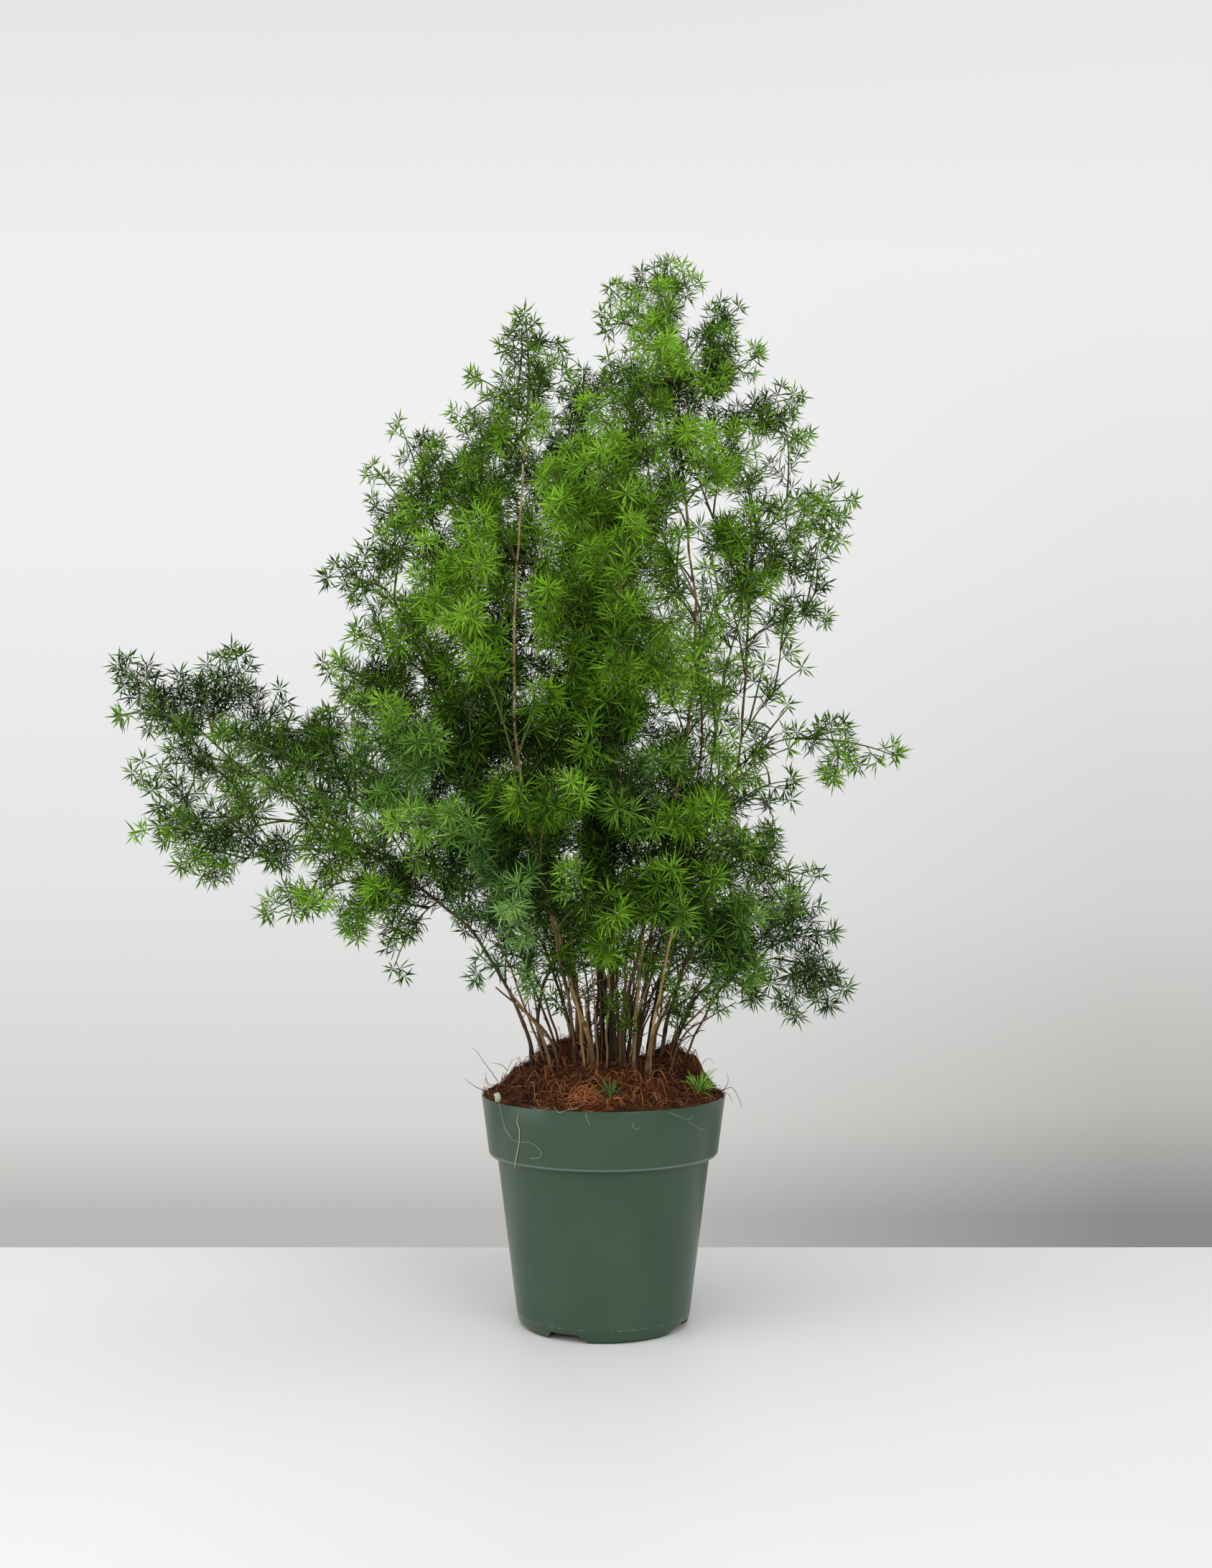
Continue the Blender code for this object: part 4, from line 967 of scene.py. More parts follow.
def branches_of(name):
    """The path of every branch of a stem, the side branches after their main one."""
    _, bare, _, places, branches = STEMS[name]
    route = in_metres(places)
    for height, tips in branches:
        start, along = at_height(route, max(height, bare + 4) * MM)
        tips = in_metres(tips)
        main = arched(start, tips[0], along)
        yield main
        for tip in tips[1:]:
            root, way = at_share(main, fork_share(start, tips[0], tip))
            yield arched(root, tip, way)


def seen(point):
    """The x and z, in millimetres, at which a real place is seen."""
    x, y, z = point / MM
    scale = (VIEW_DISTANCE + y) / VIEW_DISTANCE
    return x / scale, VIEW_HEIGHT + (z - VIEW_HEIGHT) / scale


def patch_at(patches, point):
    """How strongly a set of patches acts at a place; they were judged from the front."""
    x, z = seen(point)
    front = clamped(0.75 - point.y / MM / 80, 0.25)
    return front * sum(gain * falloff(x - px, z - pz, spread) for px, pz, spread, gain in patches)


def depth_in_crown(x, z):
    """How far inside the crown's outline a seen place is, in millimetres; below 0 is outside."""
    inside, nearest = False, 1e9
    for (ax, az), (bx, bz) in zip(CROWN, CROWN[1:] + CROWN[:1]):
        if (az > z) != (bz > z) and x < (bx - ax) * (z - az) / (bz - az) + ax:
            inside = not inside
        along = (x - ax) * (bx - ax) + (z - az) * (bz - az)
        share = clamped(along / ((bx - ax) ** 2 + (bz - az) ** 2))
        nearest = min(nearest, math.hypot(x - ax - share * (bx - ax), z - az - share * (bz - az)))
    return nearest if inside else -nearest


def inward(point, start, span):
    """0 up to start millimetres inside the crown's outline as seen, 1 from span millimetres further in."""
    return clamped((depth_in_crown(*seen(point)) - start) / span)


def well_inside(point):
    """0 for a tuft at the crown's outline, 1 for one well inside it."""
    return inward(point, 2, 36)


def hides_stem(point):
    """Whether foliage at a place would hide one of the stems that are seen through the crown."""
    x, z = seen(point)
    for name, (low, high) in SHOWN_SPANS.items():
        for (ax, ay, az), (bx, by, bz) in zip(STEMS[name][3], STEMS[name][3][1:]):
            if low < z < high and az <= z < bz:
                share = (z - az) / (bz - az)
                aside = abs(x - ax - share * (bx - ax))
                if aside < SHOWN_STRIP and point.y / MM < ay + share * (by - ay) + SHOWN_BEHIND:
                    return True
    return False


def density_at(point):
    """The share of twigs that grows at a place: fewer near the outline and in the thin patches."""
    x, z = seen(point)
    share = 0.84 + 0.16 * inward(point, 6, 34)
    for px, pz, spread, kept in THIN_PATCHES:
        share *= 1 - (1 - kept) * falloff(x - px, z - pz, spread)
    return share


def all_branches(settings):
    """The main branches of every stem, and side shoots that fill the crown between them."""
    found = {name: list(branches_of(name)) for name in STEMS}
    wood, ways, owners, foliage = [], [], [], []

    def add_wood(name, path, low, high):
        for k in range(low, high):
            wood.append(path[k][:])
            ways.append((path[k + 1] - path[k]).normalized()[:])
            owners.append(name)

    for name, paths in found.items():
        route = smooth_route(in_metres(STEMS[name][3]), 8 * MM)
        leafy = [k for k, point in enumerate(route[:-1]) if point.z > LOWEST_SHOOT * MM]
        add_wood(name, route, leafy[0], len(route) - 1)
        for path in paths:
            add_wood(name, path, 1, len(path) - 2)
            foliage.extend(point[:] for point in path[2:])
    draw = random.Random("side shoots")
    near_wood, near_ways, near_leaf = np.array(wood), np.array(ways), np.array(foliage)
    for _ in range(settings.fill_tries):
        x, z = draw.uniform(*TRIED_X), draw.uniform(*TRIED_Z)
        inner = depth_in_crown(x, z)
        if inner < OUTERMOST_TIP:
            continue
        # The crown is rounded: flat at its outline, deep in its middle.
        reach = min(settings.crown_depth / MM, 14 + 1.5 * inner)
        tip = in_metres([(x, draw.uniform(-reach, reach * 1.05), z)])[0]
        if draw.random() > density_at(tip):
            continue
        place = np.array(tip[:])
        # Near the outline, shoots stand a little closer together.
        gap = settings.fill_gap * (0.89 if inner < 30 else 1.0)
        if np.linalg.norm(near_leaf - place, axis=1).min() < gap:
            continue
        span = place - near_wood
        far = np.linalg.norm(span, axis=1)
        forward = (span * near_ways).sum(1) / far
        # A shoot springs from wood that is near, points towards it and lies lower.
        cost = far * (1.7 - forward) - span[:, 2] * 0.25
        cost[(forward < 0.2) | (far < SHORTEST_SHOOT * MM) | (far > LONGEST_SHOOT * MM)] = np.inf
        best = int(cost.argmin())
        if cost[best] == np.inf:
            continue
        path = arched(Vector(wood[best]), tip, Vector(ways[best]))
        found[owners[best]].append(path)
        add_wood(owners[best], path, 1, len(path) - 2)
        foliage.extend(point[:] for point in path[3:])
        near_wood, near_ways, near_leaf = np.array(wood), np.array(ways), np.array(foliage)
    return found


def buried_share(tufts):
    """How buried each tuft is among the others, from 0 in the open to 1 in the thick of the crown."""
    cell = 9 * MM
    places = np.array([tuft[PLACE] for tuft in tufts])
    at = np.floor((places - places.min(0)) / cell).astype(int) + 3
    grid = np.zeros(at.max(0) + 4)
    np.add.at(grid, tuple(at.T), 1.0)
    for axis in (0, 1, 2):
        for _ in range(2):
            grid = (np.roll(grid, 1, axis) + grid + np.roll(grid, -1, axis)) / 3
    crowd = grid[tuple(at.T)]
    return np.clip(crowd / np.percentile(crowd, 92), 0.0, 1.0)


class Growth:
    """The twigs and tufts of one stem while it is laid out."""

    def __init__(self, name, settings):
        self.draw = random.Random(f"growth {name}")
        self.settings = settings
        self.twigs = Strands()
        self.tufts = []

    def twig(self, root, way, reach, youth, blueness):
        """A thin zigzag twig with a tuft at every joint and a fuller one at its tip."""
        draw = self.draw
        joints = max(1, round(reach / self.settings.tuft_gap))
        path, heading = [root], way.normalized()
        side = square_to(heading, draw.uniform(0, math.tau))
        for k in range(joints):
            turn = side * (0.2 if k % 2 else -0.2)
            heading = (heading + turn * draw.uniform(0.5, 1.4) + UP * 0.06).normalized()
            path.append(path[-1] + heading * reach / joints)
            tip_share = (k + 1) / joints
            last = k == joints - 1
            lean = turned(side, heading, k * TWIG_TURN + draw.uniform(-0.5, 0.5))
            facing = heading if last else (heading + lean * 0.6).normalized()
            size = draw.uniform(0.86, 1.08) * self.full_size(path[-1]) * (0.92 if last else 1.0)
            if hides_stem(path[-1]):
                continue
            # Tufts near the crown's outline have fewer needles, and a lower tone: painted shade for needles
            # seen dark against the backdrop.
            full = 0.8 + 0.2 * well_inside(path[-1])
            count = round((self.settings.tip_needles if last else self.settings.side_needles) * full)
            self.tufts.append((
                *path[-1], *facing, size, count,
                youth + 0.14 * tip_share + 0.5 * (full - 1) + draw.uniform(-0.09, 0.09), blueness, last,
            ))
        self.twigs.tube(path, np.array([0.36, 0.2]) * MM, 3, (0.4, 0.8))

    def full_size(self, point):
        """Needles are shorter high in the crown and near its outline, where they are youngest."""
        high = clamped((seen(point)[1] - 430) / 200)
        return (0.88 + 0.16 * inward(point, 4, 45)) * (1 - 0.18 * high)

    def branch(self, path, base_youth, first=0.16, radius=0.75):
        """Twigs all round a branch, shorter towards its tip, and a starburst at the tip."""
        draw, settings = self.draw, self.settings
        own = draw.uniform(-0.24, 0.2)
        count = max(3, round(path_length(path) * (0.97 - first) / settings.twig_gap))
        angle = draw.uniform(0, math.tau)
        for k in range(count):
            share = first + (0.97 - first) * (k + draw.uniform(0.2, 0.8)) / count
            point, along = at_share(path, share)
            angle += TWIG_TURN + draw.uniform(-0.4, 0.4)
            if draw.random() > density_at(point):
                continue
            splay = math.radians(draw.uniform(36, 64))
            way = along * math.cos(splay) + square_to(along, angle) * math.sin(splay)
            reach = settings.twig_reach * draw.uniform(0.5, 1.05) * (1.1 - 0.65 * share)
            youth = base_youth + own + 0.2 * share ** 2 + patch_at(YOUNG_PATCHES, point)
            self.twig(point, way, reach, youth, patch_at(BLUE_PATCHES, point))
        along = (path[-1] - path[-2]).normalized()
        youth = base_youth + own + 0.16 + patch_at(YOUNG_PATCHES, path[-1])
        self.twig(path[-1] - along * 4 * MM, along, 6 * MM, youth, patch_at(BLUE_PATCHES, path[-1]))
        self.twigs.tube(path, np.array([radius, BRANCH_TIP]) * MM, 4, (0.1, 0.55))

    def needles(self, name, material, buried):
        """All needles of all tufts: each tuft is a fan that opens forward, its needles bowed."""
        settings = self.settings
        rng = np.random.default_rng(int.from_bytes(name.encode()[:6], "little"))
        table = np.array(self.tufts, float)
        # Painted shade: tufts get a lower tone the more they are buried, most of all in the thick of the
        # crown, and again out in the open, where the backdrop's light comes from behind them.
        thick, alone = np.clip(buried - 0.55, 0.0, 1.0), np.clip(0.32 - buried, 0.0, 1.0)
        table[:, YOUTH_AND_SHADE] += 0.12 - 0.4 * buried - 0.4 * thick - 0.45 * alone
        inner = np.array([well_inside(Vector(tuft[PLACE])) for tuft in self.tufts])
        # Tufts out in the open at the crown's outline are sparse, those well inside it fuller.
        sparse = 0.3 * np.clip(1 - buried * 2, 0.0, 1.0) * (1 - inner)
        fuller = 0.25 * inner * np.clip(1.35 - 1.3 * buried, 0.0, 1.0)
        counts = np.round(table[:, COUNT] * (1 - sparse) * (1 + fuller)).astype(int)
        which = np.repeat(np.arange(len(table)), counts)
        order = np.concatenate([np.arange(count) for count in counts])
        n = len(which)
        roots, way, last = table[which, PLACE], table[which, WAY], table[which, IS_LAST] > 0
        helper = np.where(np.abs(way[:, 2:3]) < 0.8, np.array([[0.0, 0.0, 1.0]]), np.array([[1.0, 0.0, 0.0]]))
        side = np.cross(way, helper)
        side /= np.linalg.norm(side, axis=1)[:, None]
        other = np.cross(way, side)
        first_turn = rng.uniform(0, math.tau, len(table))[which]
        azimuth = order * NEEDLE_TURN + first_turn + rng.uniform(-0.3, 0.3, n)
        widest = np.where(last, 92, 74)
        polar = np.radians(10 + widest * np.sqrt((order + rng.uniform(0.1, 0.9, n)) / counts[which]))
        out = side * np.cos(azimuth)[:, None] + other * np.sin(azimuth)[:, None]
        needle = way * np.cos(polar)[:, None] + out * np.sin(polar)[:, None]
        lengths = settings.length * table[which, SIZE] * rng.uniform(0.72, 1.12, n)
        tones = np.clip(table[which, YOUTH_AND_SHADE] + rng.uniform(-0.25, 0.25, n), 0.0, 1.0)
        blues = np.clip(table[which, BLUENESS] + rng.uniform(-0.1, 0.1, n), 0.0, 1.0)
        bows = lengths * rng.uniform(0.0, 0.1, n)
        # Single needles show most out in the open, and are widest there.
        widths = settings.width * np.maximum(0.82, 1.5 - 0.85 * buried - 0.4 * inner)[which]
        strands = Strands()
        k = last
        strands.spindles(roots[k], needle[k], out[k], lengths[k], widths[k], bows[k], tones[k], blues[k])
        k = ~last
        strands.blades(roots[k], needle[k], out[k], lengths[k], widths[k], tones[k], blues[k])
        strands.build(f"needles_{name}", material, "fern_needles", [f"leafy_{name}"], smooth=False)


def smooth_route(route, step):
    """A route through the same points with its corners rounded, in short steps."""
    points = [route[0] * 2 - route[1]] + list(route) + [route[-1] * 2 - route[-2]]
    found = []
    for a, b, c, d in zip(points, points[1:], points[2:], points[3:]):
        count = max(1, round((c - b).length / step))
        for k in range(count):
            t = k / count
            found.append(
                0.5 * ((2 * b) + (c - a) * t + (2 * a - 5 * b + 4 * c - d) * t * t
                       + (3 * b - a - 3 * c + d) * t ** 3)
            )
    return found + [route[-1].copy()]


def wandering(path, waves, reach):
    """A path that strays sideways by up to reach millimetres, in so many waves a metre."""
    return [p + Vector((noise.noise(p * waves), noise.noise(p * waves + UP), 0)) * reach * MM for p in path]


def build_stem(name, bark):
    """A woody stem from its foot to its tip: slightly zigzag, ringed with scars, tapering upwards."""
    foot, bare, pale, places, _ = STEMS[name]
    draw = random.Random(f"stem {name}")
    path = smooth_route(in_metres(places), 3 * MM)
    low, high = path[0].z, path[-1].z
    radii, tones, walked, swell, next_scar = [], [], 0.0, 0.0, draw.uniform(6, 16) * MM
    for k, point in enumerate(path):
        share = (point.z - low) / (high - low)
        if k:
            walked += (point - path[k - 1]).length
        swell *= 0.35
        if walked > next_scar:
            swell = draw.uniform(0.1, 0.28)
            next_scar = walked + draw.uniform(9, 22) * MM
        slender = 0.56 + 0.3 * math.exp(-share * 20) - 0.1 * pale
        radius = (STEM_TIP + (foot - STEM_TIP) * (1 - share) ** 0.8) * slender * MM
        radii.append(radius * (0.94 + swell + draw.uniform(-0.05, 0.05)))
        # Painted shade: the bark is darker towards the foot, over its lowest few centimetres above the coir.
        damp = 0.45 * math.exp(-(point.z - low) / MM / 22)
        tones.append(clamped(pale + draw.uniform(-0.1, 0.12) - swell * 0.9 + 0.12 * share - damp))
    strands = Strands()
    strands.tube(wandering(path, 55, 1.1), radii, 9, tones)
    for _ in range(round((bare - places[0][2]) / 14)):
        point, along = at_share(path, draw.uniform(0.08, 0.5) * bare / places[-1][2])
        way = (square_to(along, draw.uniform(0, math.tau)) + along * draw.uniform(0.2, 1.0)).normalized()
        reach = draw.uniform(3, 9) * MM
        stub = [point, point + way * reach * 0.5, point + way * reach]
        strands.tube(stub, np.array([0.5, 0.35, 0.15]) * MM, 4, 0.1)
    strands.build(f"stem_wood_{name}", bark, "bark", [f"stem_{name}"])


def soil_rise(x, y, coir, pot):
    """Height of the coir above its edge, at x and y in metres."""
    radius = math.hypot(x, y) / (pot.rim_radius - pot.wall - 0.3 * MM)
    dome = coir.dome * max(0.0, 1 - radius ** 2.2)
    edge = clamped((1 - radius) * 5)
    heaps = sum(
        rise * MM * falloff(x / MM - cx, y / MM - cy, spread) for cx, cy, rise, spread in SOIL_HEAPS
    )
    return dome + edge * heaps


def coir_height(x, y, coir, pot):
    """Height of the rough, lumpy top of the coir at x and y."""
    place = Vector((x, y, 0))
    radius = math.hypot(x, y) / pot.rim_radius
    lumps = noise.fractal(place * 62, 0.9, 2.1, 3) * 4.2 * MM
    crumbs = abs(noise.noise(place * 230)) * 3.0 * MM + noise.noise(place * 560) * 1.1 * MM
    calm = min(1.0, (1.06 - radius) * 4)
    edge_roll = 1.6 * MM * clamped((radius - 0.86) * 9)
    return coir.edge_height + soil_rise(x, y, coir, pot) + (lumps + crumbs) * calm + edge_roll


# Pieces, studio and panel


class FERN_OT_pot(bpy.types.Operator):
    """Builds the moulded pot: turned wall, collar, rounded foot and four drain notches"""

    bl_idname = "ming_fern.pot"
    bl_label = "Pot"

    def execute(self, context):
        pot = context.scene.ming_fern.pot
        top, step, wall = pot.height, pot.collar_base, pot.wall
        inner = step + wall
        # Radius and height: over the floor, up the inside, over the rim and down the outside.
        profile = [
            (0, pot.floor), (pot.flat_radius, pot.floor), (pot.foot_radius - wall, pot.foot_height),
            (pot.body_radius - wall, inner), (pot.collar_radius - wall, inner + 1.5 * MM),
            (pot.rim_radius - wall, top - 0.5 * MM), (pot.rim_radius - wall + 0.25 * MM, top - 0.1 * MM),
            (pot.rim_radius - 0.7 * MM, top), (pot.rim_radius - 0.15 * MM, top - 0.2 * MM),
            (pot.rim_radius, top - 0.7 * MM),
            (pot.rim_radius - 2.1 * MM, top - 16 * MM),
            (pot.collar_radius + 0.1 * MM, step + 4.2 * MM), (pot.collar_radius + 0.02 * MM, step + 3.1 * MM),
            (pot.collar_radius - 0.35 * MM, step + 1.9 * MM), (pot.collar_radius - 1.1 * MM, step + 1.0 * MM),
            (pot.collar_radius - 2.2 * MM, step + 0.5 * MM), (pot.body_radius + 1.2 * MM, step + 0.15 * MM),
            (pot.body_radius + 0.25 * MM, step - 0.3 * MM), (pot.body_radius - 0.08 * MM, step - 1.6 * MM),
            (pot.foot_radius + 0.1 * MM, pot.foot_height + 0.5 * MM),
            (pot.foot_radius + 0.16 * MM, pot.foot_height + 0.2 * MM),
            (pot.foot_radius - 0.1 * MM, pot.foot_height - 0.15 * MM),
            (pot.foot_radius - 0.55 * MM, 5 * MM), (pot.foot_radius - 1.1 * MM, 3.0 * MM),
            (pot.foot_radius - 1.9 * MM, 1.6 * MM), (pot.flat_radius + 0.5 * MM, 1.2 * MM),
            (pot.flat_radius, 0), (0, 0),
        ]
        body = bmesh.new()
        ring = [body.verts.new((r, 0, z)) for r, z in profile]
        edges = [body.edges.new(pair) for pair in zip(ring, ring[1:])]
        bmesh.ops.spin(
            body, geom=ring + edges, axis=UP, cent=(0, 0, 0), steps=144, angle=math.tau, use_merge=True,
        )
        bmesh.ops.remove_doubles(body, verts=body.verts, dist=0.01 * MM)
        bmesh.ops.recalc_face_normals(body, faces=body.faces)
        mesh = mesh_of(body, "pot_moulding")
        made = dressed("pot_moulding", mesh, moulded_polypropylene(pot), "pot_plastic", ["pot"])
        cutters = bpy.data.collections.new("notch_cutters")
        for k in range(NOTCHES):
            cutters.objects.link(self.notch(pot, k))
        cut = made.modifiers.new("drain_notches", "BOOLEAN")
        cut.operation = "DIFFERENCE"
        cut.operand_type = "COLLECTION"
        cut.collection = cutters
        cut.solver = "EXACT"
        graph = context.evaluated_depsgraph_get()
        graph.update()
        carved = bpy.data.meshes.new_from_object(made.evaluated_get(graph))
        made.modifiers.clear()
        made.data = carved
        for cutter in list(cutters.objects):
            bpy.data.objects.remove(cutter)
        bpy.data.collections.remove(cutters)
        carved.shade_smooth()
        carved.set_sharp_from_angle(angle=math.radians(40))
        return {"FINISHED"}

    def notch(self, pot, number):
        """A wedge across the foot, wider at the table, which it passes by 2 mm."""
        inner, outer = NOTCH_INNER * MM, pot.foot_radius + 6 * MM
        work = bmesh.new()
        bmesh.ops.create_cube(work, size=1)
        for vert in work.verts:
            top = vert.co.z > 0
            vert.co.x = inner + (vert.co.x + 0.5) * (outer - inner)
            vert.co.y *= (NOTCH_TOP_WIDTH if top else NOTCH_LOW_WIDTH) * MM
            vert.co.z = pot.notch_height if top else -2 * MM
        cutter = bpy.data.objects.new(f"notch_{number}", mesh_of(work, f"notch_{number}"))
        cutter.rotation_euler.z = NOTCH_FIRST + number * math.tau / NOTCHES
        return cutter


class FERN_OT_coir(bpy.types.Operator):
    """Builds the coir: a rough, crumbly mound and the loose fibres that curl out of it"""

    bl_idname = "ming_fern.coir"
    bl_label = "Coir"

    def execute(self, context):
        coir, pot = context.scene.ming_fern.coir, context.scene.ming_fern.pot
        self.mound(coir, pot)
        self.fibres(coir, pot)
        return {"FINISHED"}

    def mound(self, coir, pot):
        """Rings of points over the rough top, then three more down inside the pot, and a flat floor."""
        rings, steps = 72, 200
        edge = pot.rim_radius - pot.wall - 0.1 * MM
        work = bmesh.new()
        middle = work.verts.new((0, 0, coir_height(0, 0, coir, pot)))
        levels = [(edge * r / rings, None) for r in range(1, rings + 1)]
        levels += [(edge, coir.edge_height - 4 * MM), (pot.body_radius - 4 * MM, 100 * MM),
                   (pot.flat_radius - 1 * MM, 11 * MM)]
        rows = []
        for radius, height in levels:
            row = []
            for s in range(steps):
                angle = s * math.tau / steps
                x, y = radius * math.cos(angle), radius * math.sin(angle)
                row.append(work.verts.new((x, y, height or coir_height(x, y, coir, pot))))
            rows.append(row)
        for s in range(steps):
            t = (s + 1) % steps
            work.faces.new((middle, rows[0][s], rows[0][t]))
            for inner, outer in zip(rows, rows[1:]):
                work.faces.new((inner[s], outer[s], outer[t], inner[t]))
        work.faces.new(list(reversed(rows[-1])))
        mesh = mesh_of(work, "coir_mound")
        mesh.shade_smooth()
        dressed("coir_mound", mesh, coconut_coir(coir), "coir", ["soil"])

    def fibres(self, coir, pot):
        """Curled fibres that rise out of the mound and come down again, none of them past the rim."""
        draw = random.Random("coir fibres")
        strands = Strands()
        edge = pot.rim_radius - pot.wall
        for _ in range(coir.fibres):
            radius = edge * math.sqrt(draw.random())
            angle = draw.uniform(0, math.tau)
            x, y = radius * math.cos(angle), radius * math.sin(angle)
            heading = draw.uniform(0, math.tau)
            turn = draw.gauss(0, 0.6)
            length = draw.uniform(4, 15) * MM
            # One in seven stands up high.
            lift = abs(draw.gauss(0.6, 1.5)) * (3.0 if draw.random() < 0.14 else 1.0) * MM
            path = []
            for k in range(5):
                rise = lift * math.sin(math.pi * (k / 4) * 0.9)
                z = coir_height(x, y, coir, pot) + rise + draw.uniform(-0.6, 0.5) * MM
                lowest = coir.edge_height if math.hypot(x, y) < edge else pot.height + 0.3 * MM
                path.append((x, y, max(z, lowest)))
                x += math.cos(heading) * length / 4
                y += math.sin(heading) * length / 4
                heading += turn
                out = math.hypot(x, y) / (edge + 1.5 * MM)
                if out > 1:
                    x, y = x / out, y / out
            tone = clamped(draw.gauss(0.38, 0.2) + lift / MM * 0.05)
            strands.tube(path, coir.fibre_radius * np.array([0.7, 1.1, 0.5]), 3, tone)
        strands.build("coir_fibres", curled_coir_fibre(coir), "coir")


class FERN_OT_roots(bpy.types.Operator):
    """Builds the orange surface roots: forked runners over the coir and a fine tangle in front"""

    bl_idname = "ming_fern.roots"
    bl_label = "Surface roots"

    def execute(self, context):
        draw = random.Random("surface roots")
        strands = Strands()
        for route in RUNNERS:
            radius, tone = draw.uniform(0.42, 0.62), draw.uniform(0.5, 0.9)
            self.lay(context, strands, draw, route, radius, tone, 0.5)
        # The tangle: fine roots, more than half of them at the front of the rim, none past it.
        for _ in range(120):
            if draw.random() < 0.55:
                x, y = draw.gauss(-9, 8), draw.gauss(-60, 5)
            else:
                x, y = draw.uniform(-50, 55), draw.uniform(-66, -25)
            heading = draw.uniform(0, math.tau)
            points = [(x, y)]
            for _ in range(draw.randint(2, 5)):
                heading += draw.uniform(-1.1, 1.1)
                x += math.cos(heading) * 5
                y += math.sin(heading) * 5
                if math.hypot(x, y) > ROOT_REACH:
                    break
                points.append((x, y))
            if len(points) > 2 and math.hypot(*points[0]) < ROOT_START:
                radius, tone = draw.uniform(0.18, 0.34), draw.uniform(0.3, 1.0)
                self.lay(context, strands, draw, points, radius, tone, 1.6)
        strands.build("surface_root_runners", orange_root_skin(), "root_skin", ["surface_roots"])
        return {"FINISHED"}

    def lay(self, context, strands, draw, points, radius, tone, lift):
        """Lays a root over the coir through x and y places in millimetres, in steps of about 2.2 mm. It
        winds, and rises off the coir by up to lift."""
        coir, pot = context.scene.ming_fern.coir, context.scene.ming_fern.pot
        route = []
        for a, b in zip(points, points[1:]):
            steps = max(2, round(math.dist(a, b) / 2.2))
            for k in range(steps):
                t = k / steps
                route.append((a[0] + (b[0] - a[0]) * t, a[1] + (b[1] - a[1]) * t))
        route.append(points[-1])
        path = []
        phase = draw.uniform(0, 9)
        for k, (x, y) in enumerate(route):
            x += noise.noise(Vector((k * 0.31, phase, 0))) * 2.2
            y += noise.noise(Vector((k * 0.31, 0, phase))) * 2.2
            rise = lift * MM * abs(math.sin(k * 0.5 + phase))
            z = coir_height(x * MM, y * MM, coir, pot) + radius * MM * 0.8 + rise
            path.append((x * MM, y * MM, z))
        strands.tube(path, radius * MM * np.linspace(1.0, 0.35, len(path)), 5, tone)


class FERN_OT_stems(bpy.types.Operator):
    """Builds every woody stem, from its foot in the coir to its tip among the needles"""

    bl_idname = "ming_fern.stems"
    bl_label = "Woody stems"

    def execute(self, context):
        bark = dry_bark(context.scene.ming_fern.stems)
        for name in STEMS:
            build_stem(name, bark)
        return {"FINISHED"}


class FERN_OT_dead_stems(bpy.types.Operator):
    """Builds the thin dry stems that stand between the living ones and end among the lowest needles"""

    bl_idname = "ming_fern.dead_stems"
    bl_label = "Dry stems"

    def execute(self, context):
        draw = random.Random("dry stems")
        strands = Strands()
        count = context.scene.ming_fern.stems.dead
        left, middle, right = -34, 4, 44
        foot, low = 152, 178
        for k in range(count):
            # Spread from side to side of the coir, with every other one drawn in to the middle.
            share = (k + draw.uniform(0.1, 0.9)) / count
            x = left + (right - left) * share + draw.uniform(-3, 3)
            x = middle + (x - middle) * (1.0 if k % 2 else 0.45)
            y = draw.uniform(-20, 26)
            lean = (x - middle) * draw.uniform(0.5, 1.5) + draw.uniform(-7, 7)
            top = draw.uniform(196, 268)
            deep = y * draw.uniform(1.2, 2.4)
            path = wandering(smooth_route(in_metres([
                (x, y, foot), (x + lean * 0.22, y + (deep - y) * 0.3, low),
                (x + lean * 0.55 + draw.uniform(-2, 2), y + (deep - y) * 0.6, low + (top - low) * 0.5),
                (x + lean, deep, top),
            ]), 3 * MM), 70, 1.3)
            radius = draw.uniform(0.7, 1.35) * MM
            tone = max(0.08, draw.gauss(0.36, 0.15))
            strands.tube(path, np.array([radius, radius * 0.8, radius * 0.4]), 6, (tone, tone + 0.12))
            for _ in range(draw.randint(2, 5)):
                point, along = at_share(path, draw.uniform(0.2, 0.95))
                way = square_to(along, draw.uniform(0, math.tau)) + along * draw.uniform(0.3, 1.2)
                tip = point + way.normalized() * draw.uniform(4, 14) * MM
                stub = [point, point.lerp(tip, 0.5) + UP * 0.8 * MM, tip]
                strands.tube(stub, np.array([0.45, 0.2]) * MM, 4, tone)
        strands.build("dry_stems", bpy.data.materials["dry_bark"], "bark")
        return {"FINISHED"}


